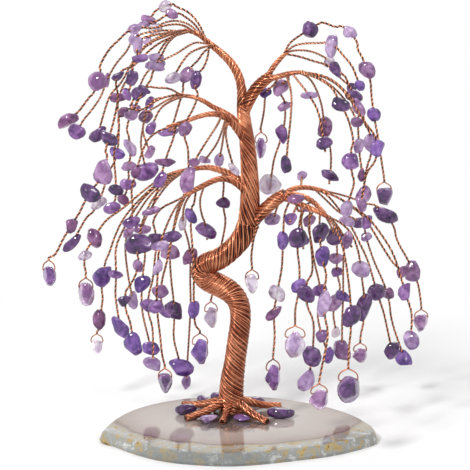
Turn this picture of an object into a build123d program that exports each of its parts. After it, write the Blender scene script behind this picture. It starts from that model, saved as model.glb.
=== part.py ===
"""A gemstone tree ornament: a tree of twisted copper wire, hung with drilled amethyst chips,
on a polished slice of agate.

The wire bundle rises from spread roots as a trunk with one sharp bend, and divides into limbs,
branches and thin strands of two wires twisted together. Every strand carries drilled chips.
The last chip of some strands hangs in an open wire loop and swings about it.

Millimetres, +Z up, +X to the right of the ornament, +Y away from its front. The origin is the
middle of the slice's flat underside.

The places of wire and chips were read off one picture, so they are written as picture points:
(across, down) in pixels, with depth in the same pixels, positive away from the front. PIXEL is
the real size of one pixel at the foot of the trunk, and place() turns such a point into a real
one.
"""
from build123d import *
import os
from math import ceil, cos, pi, radians, sin, sqrt, tan

import numpy as np

# The picture's scale and its view of the tree
PIXEL = 0.375
VIEW_TILT = 15.0
VIEW_DISTANCE = 1000.0
PICTURE_MIDDLE = (235.0, 235.0)
FOOT_AT = (232.0, 412.0)

# The agate slice, and where the trunk stands on it
SLICE_LENGTH = 102.4
SLICE_WIDTH = 68.5
SLICE_THICKNESS = 4.5
SLICE_EDGE = 0.6
SLICE_SLOPE = 1.2
SLICE_BELLY = 1.2
SLICE_UNDERCUT = 0.4
FOOT_X = -2.5
FOOT_Y = 13.55
SLICE_OUTLINE_SHARES = (
    (-1.0, -0.2), (-0.945, 0.07), (-0.815, 0.45), (-0.66, 0.69), (-0.37, 0.92), (0.04, 1.0),
    (0.46, 0.8), (0.75, 0.49), (0.87, 0.27), (0.965, 0.0), (1.0, -0.22), (0.87, -0.47),
    (0.65, -0.69), (0.42, -0.82), (0.14, -0.95), (-0.08, -1.0), (-0.29, -0.965), (-0.49, -0.88),
    (-0.64, -0.75), (-0.8, -0.54), (-0.91, -0.37),
)

# Glue under the foot, and the clearances between wire, chips and stone
GLUE_THICKNESS = 0.8
GLUE_RADIUS = 7.0
SOCKET_GAP = 0.03
SOCKET_POINTS = 5
SEAT_GAP = 0.05

# One strand is two wires twisted together
STRAND_RADIUS = 0.33
WIRE_RADIUS = 0.15
SPRING_LENGTH = 1.4
CORNER_SHARE = 0.45
CORNER_TRIM = 0.8
LEAST_TURN = 1.0

# Chips and their drilled holes
DRILL_GAP = 0.1
SWAY_SHARES = (0.0, 0.2, 0.4, 0.6, 0.8, 1.0)
CHIP_MARGIN = 0.8
CHIP_FULLNESS = 1.1
LEAD_SHARES = (0.42, 0.85)
END_SHARE = 0.4
CHIP_SIDES = 7
CHIP_WOBBLE_SHARE = 0.14
CHIP_THICKNESS_SHARE = 0.68
CHIP_TILT = 24.0
CHIP_RING_SHARES = (-0.5, -0.22, 0.2, 0.5)
CHIP_GIRTH_SHARES = {
    "oval": (0.52, 0.97, 0.95, 0.50),
    "pear": (0.64, 1.00, 0.70, 0.30),
    "wedge": (0.92, 1.00, 0.66, 0.26),
    "block": (0.80, 1.00, 0.96, 0.76),
    "sliver": (0.42, 0.94, 0.86, 0.34),
}

# A hanging chip swings on the wire of its loop
PIN_GAP = 0.08
LOOP_GAP = 0.3
LOOP_RISE = 1.7
LOOP_CORNER = 0.35
HANG_HOLE_SHARE = 0.24
HANG_GIRTH_SHARES = (0.30, 0.86, 1.00, 0.55)
HANG_RING_SHARES = (0.0, 0.34, 0.66, 1.0)
HANG_SIDES = 8

# Room that the strands keep between each other, and the depths and bends that are tried for it
STRAND_ROOM = 0.12
DEPTH_STEP = 6.0
DEPTH_LIMIT = 118.0
EASE_SHARES = (0.8, 0.55, 1.2)
SEAT_LENGTH = 3.2
PASSES = 3

# Trunk, limbs and branches: (across, down, depth, radius), all in pixels
LIMBS = {
    "lower_trunk": (
        (232, 411, 0, 13.0), (231, 398, 0, 12.6), (232, 382, 0, 12.0), (235, 362, 0, 10.6),
        (238, 340, 0, 10.6), (241, 320, 0, 10.2), (240, 304, 0, 10.6), (232, 292, 0, 11.2),
        (219, 285, 0, 11.8), (206, 279, 0, 11.8), (201, 270, 0, 12.0), (208, 263, 0, 11.4),
        (220, 259, 0, 10.8), (233, 249, 0, 10.2), (243, 237, 0, 10.6), (249, 223, 0, 11.0),
    ),
    "upper_trunk": (
        (249, 223, 0, 11.0), (250, 206, 0, 9.8), (250, 186, 0, 9.0), (249, 162, 0, 8.2),
        (247, 140, 0, 7.4), (244, 120, 0, 6.6), (243, 104, 0, 6.2),
    ),
    "left_limb": (
        (243, 104, 0, 6.2), (242, 91, 2, 4.7), (240, 79, 5, 4.5), (235, 68, 8, 4.2),
        (228, 59, 10, 4.0), (220, 52, 10, 3.6), (214, 47, 10, 3.2),
    ),
    "crown_left_branch": (
        (213.7, 46.7, 10, 3.2), (207, 41, 10, 2.8), (198, 34, 8, 2.4), (187, 30, 6, 2.1), (177, 32, 4, 1.9),
    ),
    "right_limb": (
        (244, 116, 0, 4.0), (247, 105, -2, 5.6), (252, 94, -4, 6.0), (260, 84, -6, 6.0), (269, 77, -8, 5.4),
    ),
    "right_upper_branch": (
        (266, 79, -8, 3.0), (272, 69, -4, 2.8), (278, 61, 2, 2.6), (288, 51, 8, 1.9),
    ),
    "right_lower_branch": (
        (266, 79, -8, 3.2), (277, 77, -14, 3.0), (290, 73, -20, 2.6), (303, 72, -26, 1.9),
    ),
    "upper_left_branch": (
        (243, 130, 2, 3.4), (234, 119, 7, 3.4), (224, 112, 12, 3.0), (213, 107, 16, 2.6), (204, 101, 20, 2.4),
        (195, 97, 24, 2.2), (186, 96, 27, 2.1), (177, 94, 30, 1.9),
    ),
    "middle_left_branch": (
        (245, 140, -2, 4.4), (237, 128, -6, 4.4), (229, 119, -10, 4.0), (219, 114, -15, 3.1),
        (208, 114, -19, 2.6), (197, 117, -23, 2.3), (187, 121, -26, 2.1), (177, 124, -29, 1.9),
        (167, 127, -32, 1.7),
    ),
    "lower_left_branch": (
        (249, 190, 0, 4.4), (239, 180, 5, 4.4), (230, 174, 10, 4.0), (220, 170, 15, 3.4), (209, 167, 19, 2.9),
        (198, 168, 23, 2.5), (187, 170, 26, 2.3), (177, 172, 28, 2.1), (168, 175, 30, 1.9),
    ),
    "left_fan_branch": (
        (249, 196, -3, 3.6), (238, 184, -9, 3.4), (226, 178, -16, 3.2), (214, 180, -23, 3.0),
        (203, 186, -30, 2.8), (193, 191, -37, 2.6), (184, 196, -43, 2.3),
    ),
    "right_main_branch": (
        (247, 229, 0, 5.4), (257, 217, -3, 6.2), (266, 208, -6, 6.6), (275, 200, -9, 6.4), (285, 194, -12, 5.6),
    ),
    "right_top_branch": (
        (282, 196, -9, 3.0), (292, 189, 2, 3.0), (304, 187, 12, 2.7), (316, 189, 20, 2.4), (327, 192, 26, 2.0),
    ),
    "right_middle_branch": (
        (282, 196, -12, 3.0), (294, 194, -8, 3.0), (306, 197, -6, 2.8), (316, 204, -5, 2.6), (325, 214, -5, 2.2),
    ),
    "right_front_branch": (
        (282, 197, -15, 3.2), (293, 201, -24, 3.2), (305, 206, -33, 2.9), (317, 211, -41, 2.6),
        (330, 218, -48, 2.1),
    ),
}

# Which solids each limb is cut back from, so that it seats on them
SEATS = {
    "upper_trunk": ("lower_trunk",),
    "left_limb": ("upper_trunk",),
    "right_limb": ("upper_trunk", "left_limb"),
    "right_upper_branch": ("right_limb",),
    "right_lower_branch": ("right_limb", "right_upper_branch"),
    "upper_left_branch": ("upper_trunk",),
    "middle_left_branch": ("upper_trunk", "upper_left_branch"),
    "lower_left_branch": ("upper_trunk",),
    "left_fan_branch": ("upper_trunk", "lower_left_branch"),
    "right_main_branch": ("lower_trunk", "upper_trunk"),
    "right_top_branch": ("right_main_branch",),
    "right_middle_branch": ("right_main_branch", "right_top_branch"),
    "right_front_branch": ("right_main_branch", "right_middle_branch", "right_top_branch"),
}

# Roots: where each ends round the foot, in degrees from +X, with its length and its radii in pixels
ROOTS = {
    "right_back_root": (12, 50, 4.4, 3.2),
    "right_front_root": (-48, 52, 4.6, 3.3),
    "front_root": (-104, 40, 4.0, 3.0),
    "left_front_root": (-148, 54, 4.6, 3.3),
    "left_back_root": (164, 52, 4.4, 3.2),
    "back_root": (84, 42, 4.2, 3.1),
}
ROOT_RISE = 5.0

# Chips glued round the foot: (degrees from +X, distance, kind, length, breadth, turn), sizes in pixels
FOOT_CHIPS = (
    (-20, 52, "block", 27, 15, 2),
    (-70, 29, "pear", 17, 11, -20),
    (-126, 38, "wedge", 20, 13, 35),
    (-172, 47, "block", 22, 15, 20),
    (140, 38, "oval", 18, 12, -60),
    (46, 36, "oval", 18, 11, 30),
    (110, 40, "block", 16, 12, 10),
    (188, 27, "oval", 12, 9, 70),
)

# Strands, by the branch that they leave. Each has its depth at the tip, then the points that it
# passes. A point with a kind of chip in front is a chip: (kind, across, down, length, breadth, turn).
# "hang" in front of the kind makes it a chip that swings in a loop: its turn is left out.
STRANDS = {
    "crown_left_branch": (
        (40, (206, 39), (199, 23), (188, 11), (176, 7), ("oval", 165, 6, 13, 11, 20), (156, 14),
         ("block", 149, 20, 16, 8, -15)),
        (-30, (203, 37), (195, 24), (184, 16), ("oval", 172, 14, 13, 9, -20), (160, 20), ("sliver", 144, 25, 14, 8, 10)),
        (72, (199, 34), (190, 24), (176, 20), (166, 22), ("block", 156, 29, 14, 10, 20), ("oval", 147, 41, 12, 9, -20)),
        (-62, (194, 32), (184, 25), (172, 24), (150, 29), ("oval", 134, 29, 15, 10, 30), (120, 39), (110, 48),
         (103, 59), (99, 68), ("oval", 98, 81, 19, 17, 40), (90, 96), (80, 110), ("oval", 68, 121, 21, 14, 30)),
        (-98, (183, 30), (164, 37), (148, 43), (138, 53), (131, 65), ("block", 132, 78, 14, 12, 80),
         ("sliver", 127, 95, 14, 8, -70)),
        (30, (179, 31), (163, 30), (148, 32), ("pear", 135, 38, 15, 11, 60), (127, 51), (116, 63),
         ("sliver", 107, 80, 15, 8, 85), (101, 97), (91, 111), (84, 119), ("oval", 77, 131, 18, 16, -35)),
        (-18, (178, 32), (166, 41), ("block", 156, 57, 15, 8, 0)),
        (62, (180, 32), (168, 42), (162, 55), ("pear", 155, 67, 19, 10, -10), (151, 80), ("wedge", 144, 90, 13, 9, -30),
         (137, 103), ("oval", 131, 115, 13, 12, 0)),
        (-104, (186, 30), (166, 33), (150, 36), ("oval", 138, 45, 16, 10, 80), ("block", 140, 58, 15, 9, 5)),
        (86, (211, 44), (203, 43), (195, 42), (186, 47), (176, 54), ("pear", 158, 63, 20, 11, -12), (145, 74),
         (139, 88), ("oval", 135, 108, 13, 11, -40)),
        (-70, (212, 45), (200, 48), (189, 53), (181, 64), ("oval", 173, 78, 16, 11, 20)),
        (22, (213, 46), (204, 51), (197, 62), ("oval", 187, 75, 17, 13, 60), (184, 88), (179, 104),
         ("oval", 171, 131, 14, 10, 0)),
        (-46, (208, 41), (209, 54), (203, 70), ("oval", 196, 80, 18, 12, 80), (199, 94), (193, 110),
         ("oval", 185, 129, 15, 13, 60), (188, 146), ("pear", 189, 180, 27, 19, 75)),
        (-86, (191, 31), (168, 34), (146, 45), (132, 62), (121, 84), (110, 94), (105, 109), ("wedge", 98, 134, 22, 15, 45)),
        (92, (192, 31), (170, 37), (150, 49), (135, 66), ("wedge", 118, 76, 14, 9, 35), (119, 96), (114, 120),
         ("oval", 109, 138, 19, 12, -40), (105, 152), ("wedge", 103, 171, 24, 21, 90), ("oval", 90, 193, 21, 17, -40),
         (80, 212), ("oval", 71, 226, 15, 13, 60), (62, 241), (55, 256), ("hang", "oval", 49, 276, 21, 12)),
        (48, (189, 30), (168, 33), (150, 41), (137, 56), (130, 74), ("wedge", 119, 97, 18, 11, 0), (119, 115),
         ("oval", 117, 153, 16, 12, -30), (108, 172), ("oval", 98, 203, 18, 13, 30), (87, 216), ("sliver", 72, 243, 24, 10, 45)),
    ),
    "upper_left_branch": (
        (44, (179, 94), (169, 88), (156, 88), ("block", 139, 93, 15, 13, 30), (131, 112), (126, 130),
         ("oval", 130, 147, 20, 11, -65), ("oval", 129, 166, 16, 9, 5), ("oval", 128, 184, 16, 11, 0),
         ("oval", 123, 200, 14, 10, -40)),
        (-36, (178, 94), (166, 97), ("oval", 150, 103, 14, 10, 70), (144, 122), (140, 143), ("oval", 146, 171, 26, 18, 20)),
        (84, (182, 95), (168, 99), (156, 107), ("block", 146, 117, 15, 13, 50), (143, 134), ("block", 150, 152, 14, 10, 60)),
        (-82, (186, 96), (172, 100), (160, 108), ("block", 151, 128, 13, 9, 70)),
        (12, (181, 95), (168, 96), (155, 101), (140, 112), ("oval", 123, 112, 12, 10, 40), (120, 128),
         (113, 150), ("oval", 116, 190, 15, 10, -20), ("oval", 112, 208, 17, 12, 10)),
    ),
    "middle_left_branch": (
        (-14, (169, 127), (156, 132), (147, 140), (142, 152), ("oval", 136, 172, 13, 9, 60), (131, 190), (133, 209),
         ("oval", 131, 222, 18, 12, 20)),
        (-60, (176, 124), (174, 137), (169, 150), ("oval", 165, 162, 20, 9, -8), ("block", 160, 180, 17, 12, 60),
         (156, 196), ("oval", 151, 211, 18, 10, 20)),
        (20, (182, 123), ("block", 167, 132, 19, 9, 5), (154, 139), (146, 148)),
        (-90, (222, 115), (218, 124), (211, 135), (203, 147), ("oval", 194, 162, 11, 9, -20)),
        (36, (226, 117), (223, 128), (217, 144), ("wedge", 205, 160, 13, 8, -15)),
        (72, (228, 118), (224, 131), (222, 146), ("oval", 219, 160, 14, 10, 75)),
        (-50, (230, 120), (225, 131), (228, 148), ("oval", 234, 169, 14, 8, -50)),
    ),
    "lower_left_branch": (
        (-74, (173, 173), (160, 179), (147, 188), (134, 199), (121, 210), (107, 219), ("oval", 94, 238, 20, 16, -60),
         ("oval", 85, 256, 14, 11, 30), (86, 272), ("hang", "block", 86, 295, 24, 15)),
        (56, (175, 173), (160, 181), (147, 192), (134, 205), (122, 220), (114, 238), (109, 254),
         ("wedge", 103, 275, 24, 19, 60), (103, 297), ("oval", 100, 320, 22, 15, -85), ("hang", "oval", 97, 346, 16, 13)),
        (-8, (177, 172), (160, 183), (146, 195), (134, 210), (124, 228), (115, 247), ("oval", 116, 274, 15, 9, -5),
         (115, 295), ("oval", 120, 327, 25, 16, -60)),
        (96, (180, 172), (163, 183), (149, 196), (139, 211), ("oval", 128, 232, 14, 11, 40), (125, 252),
         (128, 276), ("oval", 133, 301, 21, 11, 80)),
        (-102, (183, 171), (166, 183), (153, 198), (145, 214), ("oval", 138, 244, 30, 19, -10), ("oval", 138, 266, 13, 10, -80),
         (130, 286), ("wedge", 125, 300, 14, 11, 30), (130, 321), ("oval", 134, 345, 25, 19, -75)),
        (66, (186, 170), (168, 183), (156, 200), ("oval", 142, 229, 18, 13, 0), (146, 251), ("oval", 142, 284, 20, 15, 50),
         (142, 313), ("oval", 151, 348, 18, 14, -35)),
        (38, (222, 171), (224, 186), ("block", 223, 203, 14, 11, -10), (226, 220), (223, 238), (217, 262), (214, 290),
         ("hang", "oval", 211, 317, 22, 14)),
    ),
    "left_fan_branch": (
        (-72, (190, 193), (176, 201), (160, 208), (152, 222), ("oval", 156, 238, 15, 13, 0), (155, 256), (153, 280),
         ("oval", 148, 305, 16, 13, 0), (153, 327), ("oval", 153, 364, 20, 14, -25)),
        (-28, (188, 194), (176, 206), (168, 222), ("block", 160, 246, 16, 9, 20), ("pear", 158, 267, 17, 9, 70),
         (157, 284), ("oval", 157, 307, 16, 14, 10), (160, 334), (162, 356), ("hang", "wedge", 165, 384, 21, 14)),
        (30, (186, 195), (179, 210), ("oval", 172, 237, 20, 11, 15), (167, 262), ("oval", 161, 291, 17, 14, 0),
         ("oval", 165, 313, 13, 9, -40)),
        (-104, (187, 194), (178, 206), (174, 224), ("oval", 170, 252, 21, 15, 0), (171, 280), ("wedge", 174, 311, 21, 18, -60),
         (173, 338), ("oval", 181, 367, 26, 19, -15)),
        (74, (192, 192), (184, 204), ("pear", 183, 222, 18, 8, 80), (188, 240), ("oval", 190, 257, 20, 15, 60), (190, 284),
         (191, 304), ("oval", 186, 382, 16, 9, 80)),
        (-52, (196, 190), (194, 205), ("oval", 191, 216, 17, 10, -60), (192, 240), (194, 274), ("oval", 194, 309, 19, 11, 80),
         (196, 327), ("hang", "oval", 200, 351, 26, 17)),
        (8, (204, 186), (199, 201), (202, 217), ("oval", 206, 231, 22, 15, -25), (206, 252)),
    ),
    "right_upper_branch": (
        (46, (284, 54), (289, 43), (299, 31), ("oval", 310, 29, 18, 15, 80), (323, 22), (337, 28),
         ("oval", 350, 33, 17, 12, -45), (357, 49), ("oval", 367, 70, 19, 16, -50), (371, 91), ("oval", 374, 115, 15, 12, -60),
         (377, 131), (381, 158), ("hang", "wedge", 384, 197, 20, 16)),
        (-24, (286, 52), (294, 45), (307, 43), (321, 43), ("oval", 332, 45, 24, 14, 80), (342, 54), (352, 65),
         ("sliver", 360, 86, 12, 9, -60)),
        (82, (287, 52), (297, 50), (311, 51), ("oval", 329, 61, 14, 11, 70), (338, 76), ("oval", 352, 88, 11, 9, 0)),
        (-68, (285, 54), (298, 56), (313, 61), ("pear", 336, 70, 18, 11, -60), (347, 81), ("oval", 354, 96, 18, 13, -10),
         (360, 110), ("oval", 357, 122, 12, 13, 0)),
    ),
    "right_lower_branch": (
        (12, (301, 72), (318, 74), (334, 80), ("oval", 358, 107, 20, 11, -55), (364, 124), ("oval", 371, 143, 20, 15, -60),
         (367, 165), ("oval", 363, 194, 18, 15, 60)),
        (-44, (299, 72), (316, 77), (331, 86), ("block", 341, 104, 17, 13, -10), (350, 124), (354, 142),
         ("oval", 351, 161, 18, 17, 0), (355, 182), ("oval", 346, 209, 17, 13, 75)),
        (70, (296, 72), (308, 76), (316, 88), (322, 106), ("oval", 325, 127, 21, 17, 70), (331, 150),
         ("wedge", 330, 176, 20, 12, -20), (326, 190)),
        (-90, (292, 73), (299, 82), ("oval", 309, 95, 17, 8, 0), (319, 112), ("oval", 324, 143, 16, 12, 10), (327, 162)),
        (34, (288, 74), (289, 82), ("oval", 281, 88, 18, 15, 60), ("wedge", 285, 106, 16, 12, 20), ("pear", 282, 134, 21, 12, -75),
         (274, 158), ("oval", 270, 185, 22, 20, 0)),
        (-112, (286, 74), (292, 92), (291, 118), (288, 142), ("oval", 286, 165, 18, 10, -80)),
        (94, (279, 76), (273, 86), ("oval", 266, 93, 12, 10, 30), (264, 112), (260, 130), ("hang", "wedge", 261, 148, 22, 13)),
        (104, (303, 72), (320, 75), (338, 84), (352, 102), (366, 124), ("block", 377, 149, 18, 15, 60), (366, 172),
         ("oval", 361, 204, 16, 10, -70)),
        (-14, (298, 72), (314, 75), (330, 84), (346, 100), (358, 122), ("oval", 359, 146, 18, 10, 80), (361, 165),
         ("pear", 362, 175, 14, 9, 85)),
    ),
    "right_top_branch": (
        (34, (301, 187), ("oval", 302, 176, 11, 9, 40)),
        (60, (324, 191), (338, 194), (352, 198), (366, 204), ("oval", 386, 215, 28, 17, -25), (396, 240),
         ("block", 413, 271, 22, 17, 80), (420, 295), ("hang", "wedge", 421, 323, 19, 15)),
        (-12, (322, 191), (338, 197), (354, 207), (369, 218), (382, 235), (394, 254), ("wedge", 405, 291, 18, 17, 60),
         (412, 313), ("oval", 411, 341, 21, 17, -80)),
        (104, (326, 192), (341, 199), (356, 210), ("oval", 367, 222, 15, 13, 60), (380, 243), (392, 262),
         ("block", 403, 272, 14, 11, 40)),
        (18, (318, 190), (328, 195), ("oval", 348, 222, 18, 11, -20), (358, 240), (368, 260), ("oval", 377, 292, 19, 16, 20),
         (384, 313), ("oval", 392, 351, 20, 16, 60)),
        (82, (314, 189), (326, 200), (340, 214), ("oval", 360, 223, 16, 12, 10), ("block", 366, 237, 12, 10, 20), (374, 262),
         ("oval", 387, 293, 16, 14, -30), (391, 320), ("oval", 404, 358, 22, 17, -40)),
    ),
    "right_middle_branch": (
        (38, (318, 206), ("oval", 309, 221, 15, 12, 40), (311, 240), (314, 262), ("block", 320, 290, 15, 11, 20), (317, 314),
         ("oval", 322, 336, 14, 13, 50), ("oval", 329, 355, 18, 13, 75)),
        (84, (322, 210), ("oval", 335, 236, 19, 17, 60), ("oval", 337, 258, 17, 12, 0), ("block", 337, 272, 12, 10, 20), (341, 290),
         ("oval", 334, 303, 20, 16, 50), ("oval", 336, 332, 12, 9, 60)),
        (110, (323, 212), (336, 223), (345, 238), (343, 262), ("wedge", 343, 297, 18, 11, -35), (342, 320),
         ("oval", 342, 350, 24, 17, -60)),
        (0, (314, 202), ("oval", 305, 208, 12, 9, -30), (301, 224), ("oval", 303, 240, 14, 12, 60), (302, 262)),
    ),
    "right_front_branch": (
        (-66, (326, 216), (340, 222), (352, 233), (358, 250), ("block", 361, 270, 19, 15, -10), ("oval", 364, 307, 29, 14, 75),
         (361, 333), ("hang", "block", 360, 355, 15, 14)),
        (-98, (327, 216), (336, 228), (344, 250), (348, 276), ("oval", 351, 316, 22, 17, 60), (349, 346),
         ("hang", "oval", 348, 388, 29, 22)),
        (-32, (323, 214), ("oval", 347, 240, 17, 11, 80), (356, 262), (366, 282)),
        (-112, (320, 212), ("oval", 320, 233, 21, 18, 60), ("block", 322, 256, 20, 14, 85), (327, 276), ("oval", 324, 304, 26, 14, 80),
         (329, 334), (322, 366), ("hang", "block", 319, 399, 20, 18)),
        (-76, (310, 208), (309, 228), (312, 252), (313, 274), ("oval", 306, 294, 20, 14, -55), (314, 320),
         ("oval", 312, 356, 22, 17, -70), ("oval", 307, 381, 23, 18, 60)),
        (-50, (303, 205), ("oval", 298, 238, 20, 17, 70), (299, 262), ("block", 299, 286, 17, 12, 40), (295, 309),
         ("hang", "oval", 295, 344, 27, 23)),
        (-20, (290, 200), (284, 214), ("oval", 283, 241, 21, 13, -85), (282, 268), ("oval", 277, 294, 20, 14, -60),
         ("pear", 274, 313, 20, 9, 45), (275, 335), ("hang", "oval", 273, 377, 27, 15)),
        (-118, (298, 203), ("block", 291, 219, 13, 11, 20), (284, 236), (287, 258), (284, 280)),
        (-88, (307, 206), (298, 213), ("oval", 296, 199, 16, 10, 10)),
    ),
    "right_main_branch": (
        (24, (281, 196), ("oval", 273, 219, 17, 15, 10)),
        (-44, (262, 212), (254, 236), (251, 256), ("hang", "wedge", 252, 284, 19, 14)),
    ),
}

# The strands and chips of which branches make each pair of nodes
STRAND_GROUPS = {
    "crown_left": ("crown_left_branch",),
    "upper_left": ("upper_left_branch",),
    "middle_left": ("middle_left_branch",),
    "lower_left": ("lower_left_branch",),
    "left_fan": ("left_fan_branch",),
    "right_upper": ("right_upper_branch",),
    "right_lower": ("right_lower_branch",),
    "right_top": ("right_top_branch",),
    "right_middle": ("right_main_branch", "right_middle_branch"),
    "right_front": ("right_front_branch",),
}


def view_vectors():
    """The picture's right, up and forward directions, as arrays."""
    tilt = radians(VIEW_TILT)
    return (
        np.array([1.0, 0.0, 0.0]),
        np.array([0.0, sin(tilt), cos(tilt)]),
        np.array([0.0, cos(tilt), -sin(tilt)]),
    )


RIGHT, UP, FORWARD = view_vectors()
FOOT = np.array([FOOT_X, FOOT_Y, SLICE_THICKNESS])
FOOT_ACROSS = (FOOT_AT[0] - PICTURE_MIDDLE[0]) * PIXEL
FOOT_RISE = (PICTURE_MIDDLE[1] - FOOT_AT[1]) * PIXEL
EYE = FOOT - VIEW_DISTANCE * FORWARD - FOOT_ACROSS * RIGHT - FOOT_RISE * UP


def place(across, down, depth):
    """The real point that a picture point shows, at a depth in pixels behind the trunk's foot."""
    side = (across - PICTURE_MIDDLE[0]) * PIXEL
    rise = (PICTURE_MIDDLE[1] - down) * PIXEL
    ray = VIEW_DISTANCE * FORWARD + side * RIGHT + rise * UP
    reach = (FOOT_Y + depth * PIXEL - EYE[1]) / ray[1]
    return EYE + reach * ray


def unit(vector):
    return vector / np.linalg.norm(vector)


def limb_solid(name):
    """A tapered round bundle through the limb's stations."""
    stations = LIMBS[name]
    centres = [place(across, down, depth) for across, down, depth, _ in stations]
    sections = []
    for index, centre in enumerate(centres):
        before = centres[max(index - 1, 0)]
        after = centres[min(index + 1, len(centres) - 1)]
        along = unit(after - before)
        if name == "lower_trunk" and index == 0:
            along = np.array([0.0, 0.0, 1.0])
        plane = Plane(origin=tuple(centre), z_dir=tuple(along))
        sections.append(plane * Circle(stations[index][3] * PIXEL))
    return loft(sections)


def nearest_on_limb(name, across, down):
    """Depth and radius of a limb where it passes a picture point, in pixels."""
    best = None
    stations = LIMBS[name]
    for first, second in zip(stations, stations[1:]):
        run = (second[0] - first[0], second[1] - first[1])
        share = ((across - first[0]) * run[0] + (down - first[1]) * run[1]) / (run[0] ** 2 + run[1] ** 2)
        share = min(max(share, 0.0), 1.0)
        gap = sqrt((first[0] + share * run[0] - across) ** 2 + (first[1] + share * run[1] - down) ** 2)
        if best is None or gap < best[0]:
            best = (gap, first[2] + share * (second[2] - first[2]), first[3] + share * (second[3] - first[3]))
    return best[1], best[2]


def chip_frame(centre, turn, seed):
    """A chip's own directions: along its length, across its breadth, through its thickness."""
    angle = radians(turn)
    along = cos(angle) * RIGHT + sin(angle) * np.array([0.0, 0.0, 1.0])
    lean = radians(CHIP_TILT) * sin(seed * 1.7)
    through = cos(lean) * np.array([0.0, 1.0, 0.0]) + sin(lean) * np.cross(along, np.array([0.0, 1.0, 0.0]))
    return along, np.cross(through, along), through


def line_reach(direction, axes, half):
    """How far a straight line through a chip's middle stays inside the chip, each way."""
    squares = sum((float(np.dot(direction, axis)) / size) ** 2 for axis, size in zip(axes, half))
    return CHIP_FULLNESS / sqrt(squares)


class Strand:
    """One strand: its route, its fixed chips and, if it ends in a loop, its hanging chip."""

    def __init__(self, limb, order, row):
        self.limb = limb
        self.order = order
        self.wanted_depth = row[0]
        self.items = row[1:]
        self.lay(self.wanted_depth)

    def lay(self, tip_depth, ease_share=EASE_SHARES[0]):
        """Works out every real point for one depth of the tip."""
        marks = [picture_point(item) for item in self.items]
        lengths = [0.0]
        for first, second in zip(marks, marks[1:]):
            lengths.append(lengths[-1] + sqrt((second[0] - first[0]) ** 2 + (second[1] - first[1]) ** 2))
        start_depth, start_radius = nearest_on_limb(self.limb, *marks[0])
        ease = [sin(0.5 * pi * (length / lengths[-1]) ** ease_share) for length in lengths]
        depths = [start_depth + (tip_depth - start_depth) * part for part in ease]
        points = [place(mark[0], mark[1], depth) for mark, depth in zip(marks, depths)]
        outward = unit(points[1] - points[0])
        points[0] = points[0] + outward * (0.5 * start_radius * PIXEL)
        self.route = [points[0]]
        self.chips = []
        self.hanging = None
        self.loose = 0
        for index in range(1, len(points)):
            item = self.items[index]
            if not isinstance(item[0], str):
                self.route.append(points[index])
                self.loose += 1
                continue
            if item[0] == "hang":
                self.hang(item, points[index], index)
                continue
            self.thread(item, points, index)

    def thread(self, item, points, index):
        """Leads the strand straight through a chip."""
        kind, _, _, length, breadth, turn = item
        seed = self.order * 3 + index
        centre = points[index]
        half = (0.5 * length * PIXEL, 0.5 * breadth * PIXEL, 0.5 * breadth * CHIP_THICKNESS_SHARE * PIXEL)
        while len(self.route) > 1 and self.loose and np.linalg.norm(centre - self.route[-1]) < half[0] + CHIP_MARGIN:
            self.route.pop()
            self.loose -= 1
        after = points[index + 1] if index + 1 < len(points) else centre + (centre - self.route[-1])
        through = unit(after - self.route[-1])
        axes = chip_frame(centre, turn, seed)
        reach = line_reach(through, axes, half) + CHIP_MARGIN
        next_is_chip = index + 1 < len(points) and isinstance(self.items[index + 1][0], str)
        share = LEAD_SHARES[0] if self.chips and not self.loose else LEAD_SHARES[1]
        before = min(reach, share * float(np.linalg.norm(centre - self.route[-1])))
        share = LEAD_SHARES[0] if next_is_chip else LEAD_SHARES[1]
        beyond = min(reach, share * float(np.linalg.norm(after - centre)))
        self.route.append(centre - through * before)
        if index + 1 < len(points):
            self.route.append(centre + through * beyond)
        else:
            self.route.append(centre + through * END_SHARE * half[1])
        self.chips.append((kind, centre, axes, half, seed, through))
        self.loose = 0

    def hang(self, item, centre, index):
        """Ends the strand in a loop above a chip that hangs plumb."""
        _, kind, _, _, length, breadth = item
        tall = length * PIXEL
        wide = breadth * PIXEL
        top = centre + np.array([0.0, 0.0, 0.5 * tall])
        hole = top - np.array([0.0, 0.0, HANG_HOLE_SHARE * tall])
        apex = top + np.array([0.0, 0.0, LOOP_RISE])
        self.route.append(apex + np.array([0.0, 0.0, SPRING_LENGTH]))
        self.route.append(apex)
        self.hanging = (kind, top, hole, apex, tall, wide, index)

    def capsules(self):
        """The strand and its chips as rows: one end, the other end, radius, length passed before."""
        rows = []
        passed = 0.0
        for first, second in zip(*offset_pair(rounded_points(self.route))):
            rows.append((*first, *second, STRAND_RADIUS, passed))
            passed += float(np.linalg.norm(second - first))
        far = passed + SEAT_LENGTH
        for _, centre, axes, half, _, _ in self.chips:
            reach = axes[0] * max(half[0] - 0.7 * half[2], 0.0)
            for side in (-1, 0, 1):
                middle = centre + axes[1] * side * (half[1] - half[2])
                rows.append((*(middle - reach), *(middle + reach), half[2], far))
        if self.hanging:
            _, top, _, apex, tall, wide, _ = self.hanging
            side = np.array([0.5 * wide * (1 - CHIP_THICKNESS_SHARE), 0.0, 0.0])
            low = top - np.array([0.0, 0.0, 0.8 * tall])
            for shift in (-side, side):
                rows.append((*(top + shift), *(low + shift), 0.5 * wide * CHIP_THICKNESS_SHARE, far))
            rows.append((*apex, *top, LOOP_GAP + 2 * WIRE_RADIUS, far))
        return np.array(rows)


def picture_point(item):
    """Where a strand's item is in the picture."""
    if item[0] == "hang":
        return item[2:4]
    if isinstance(item[0], str):
        return item[1:3]
    return item


def offset_pair(points):
    return points[:-1], points[1:]


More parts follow.
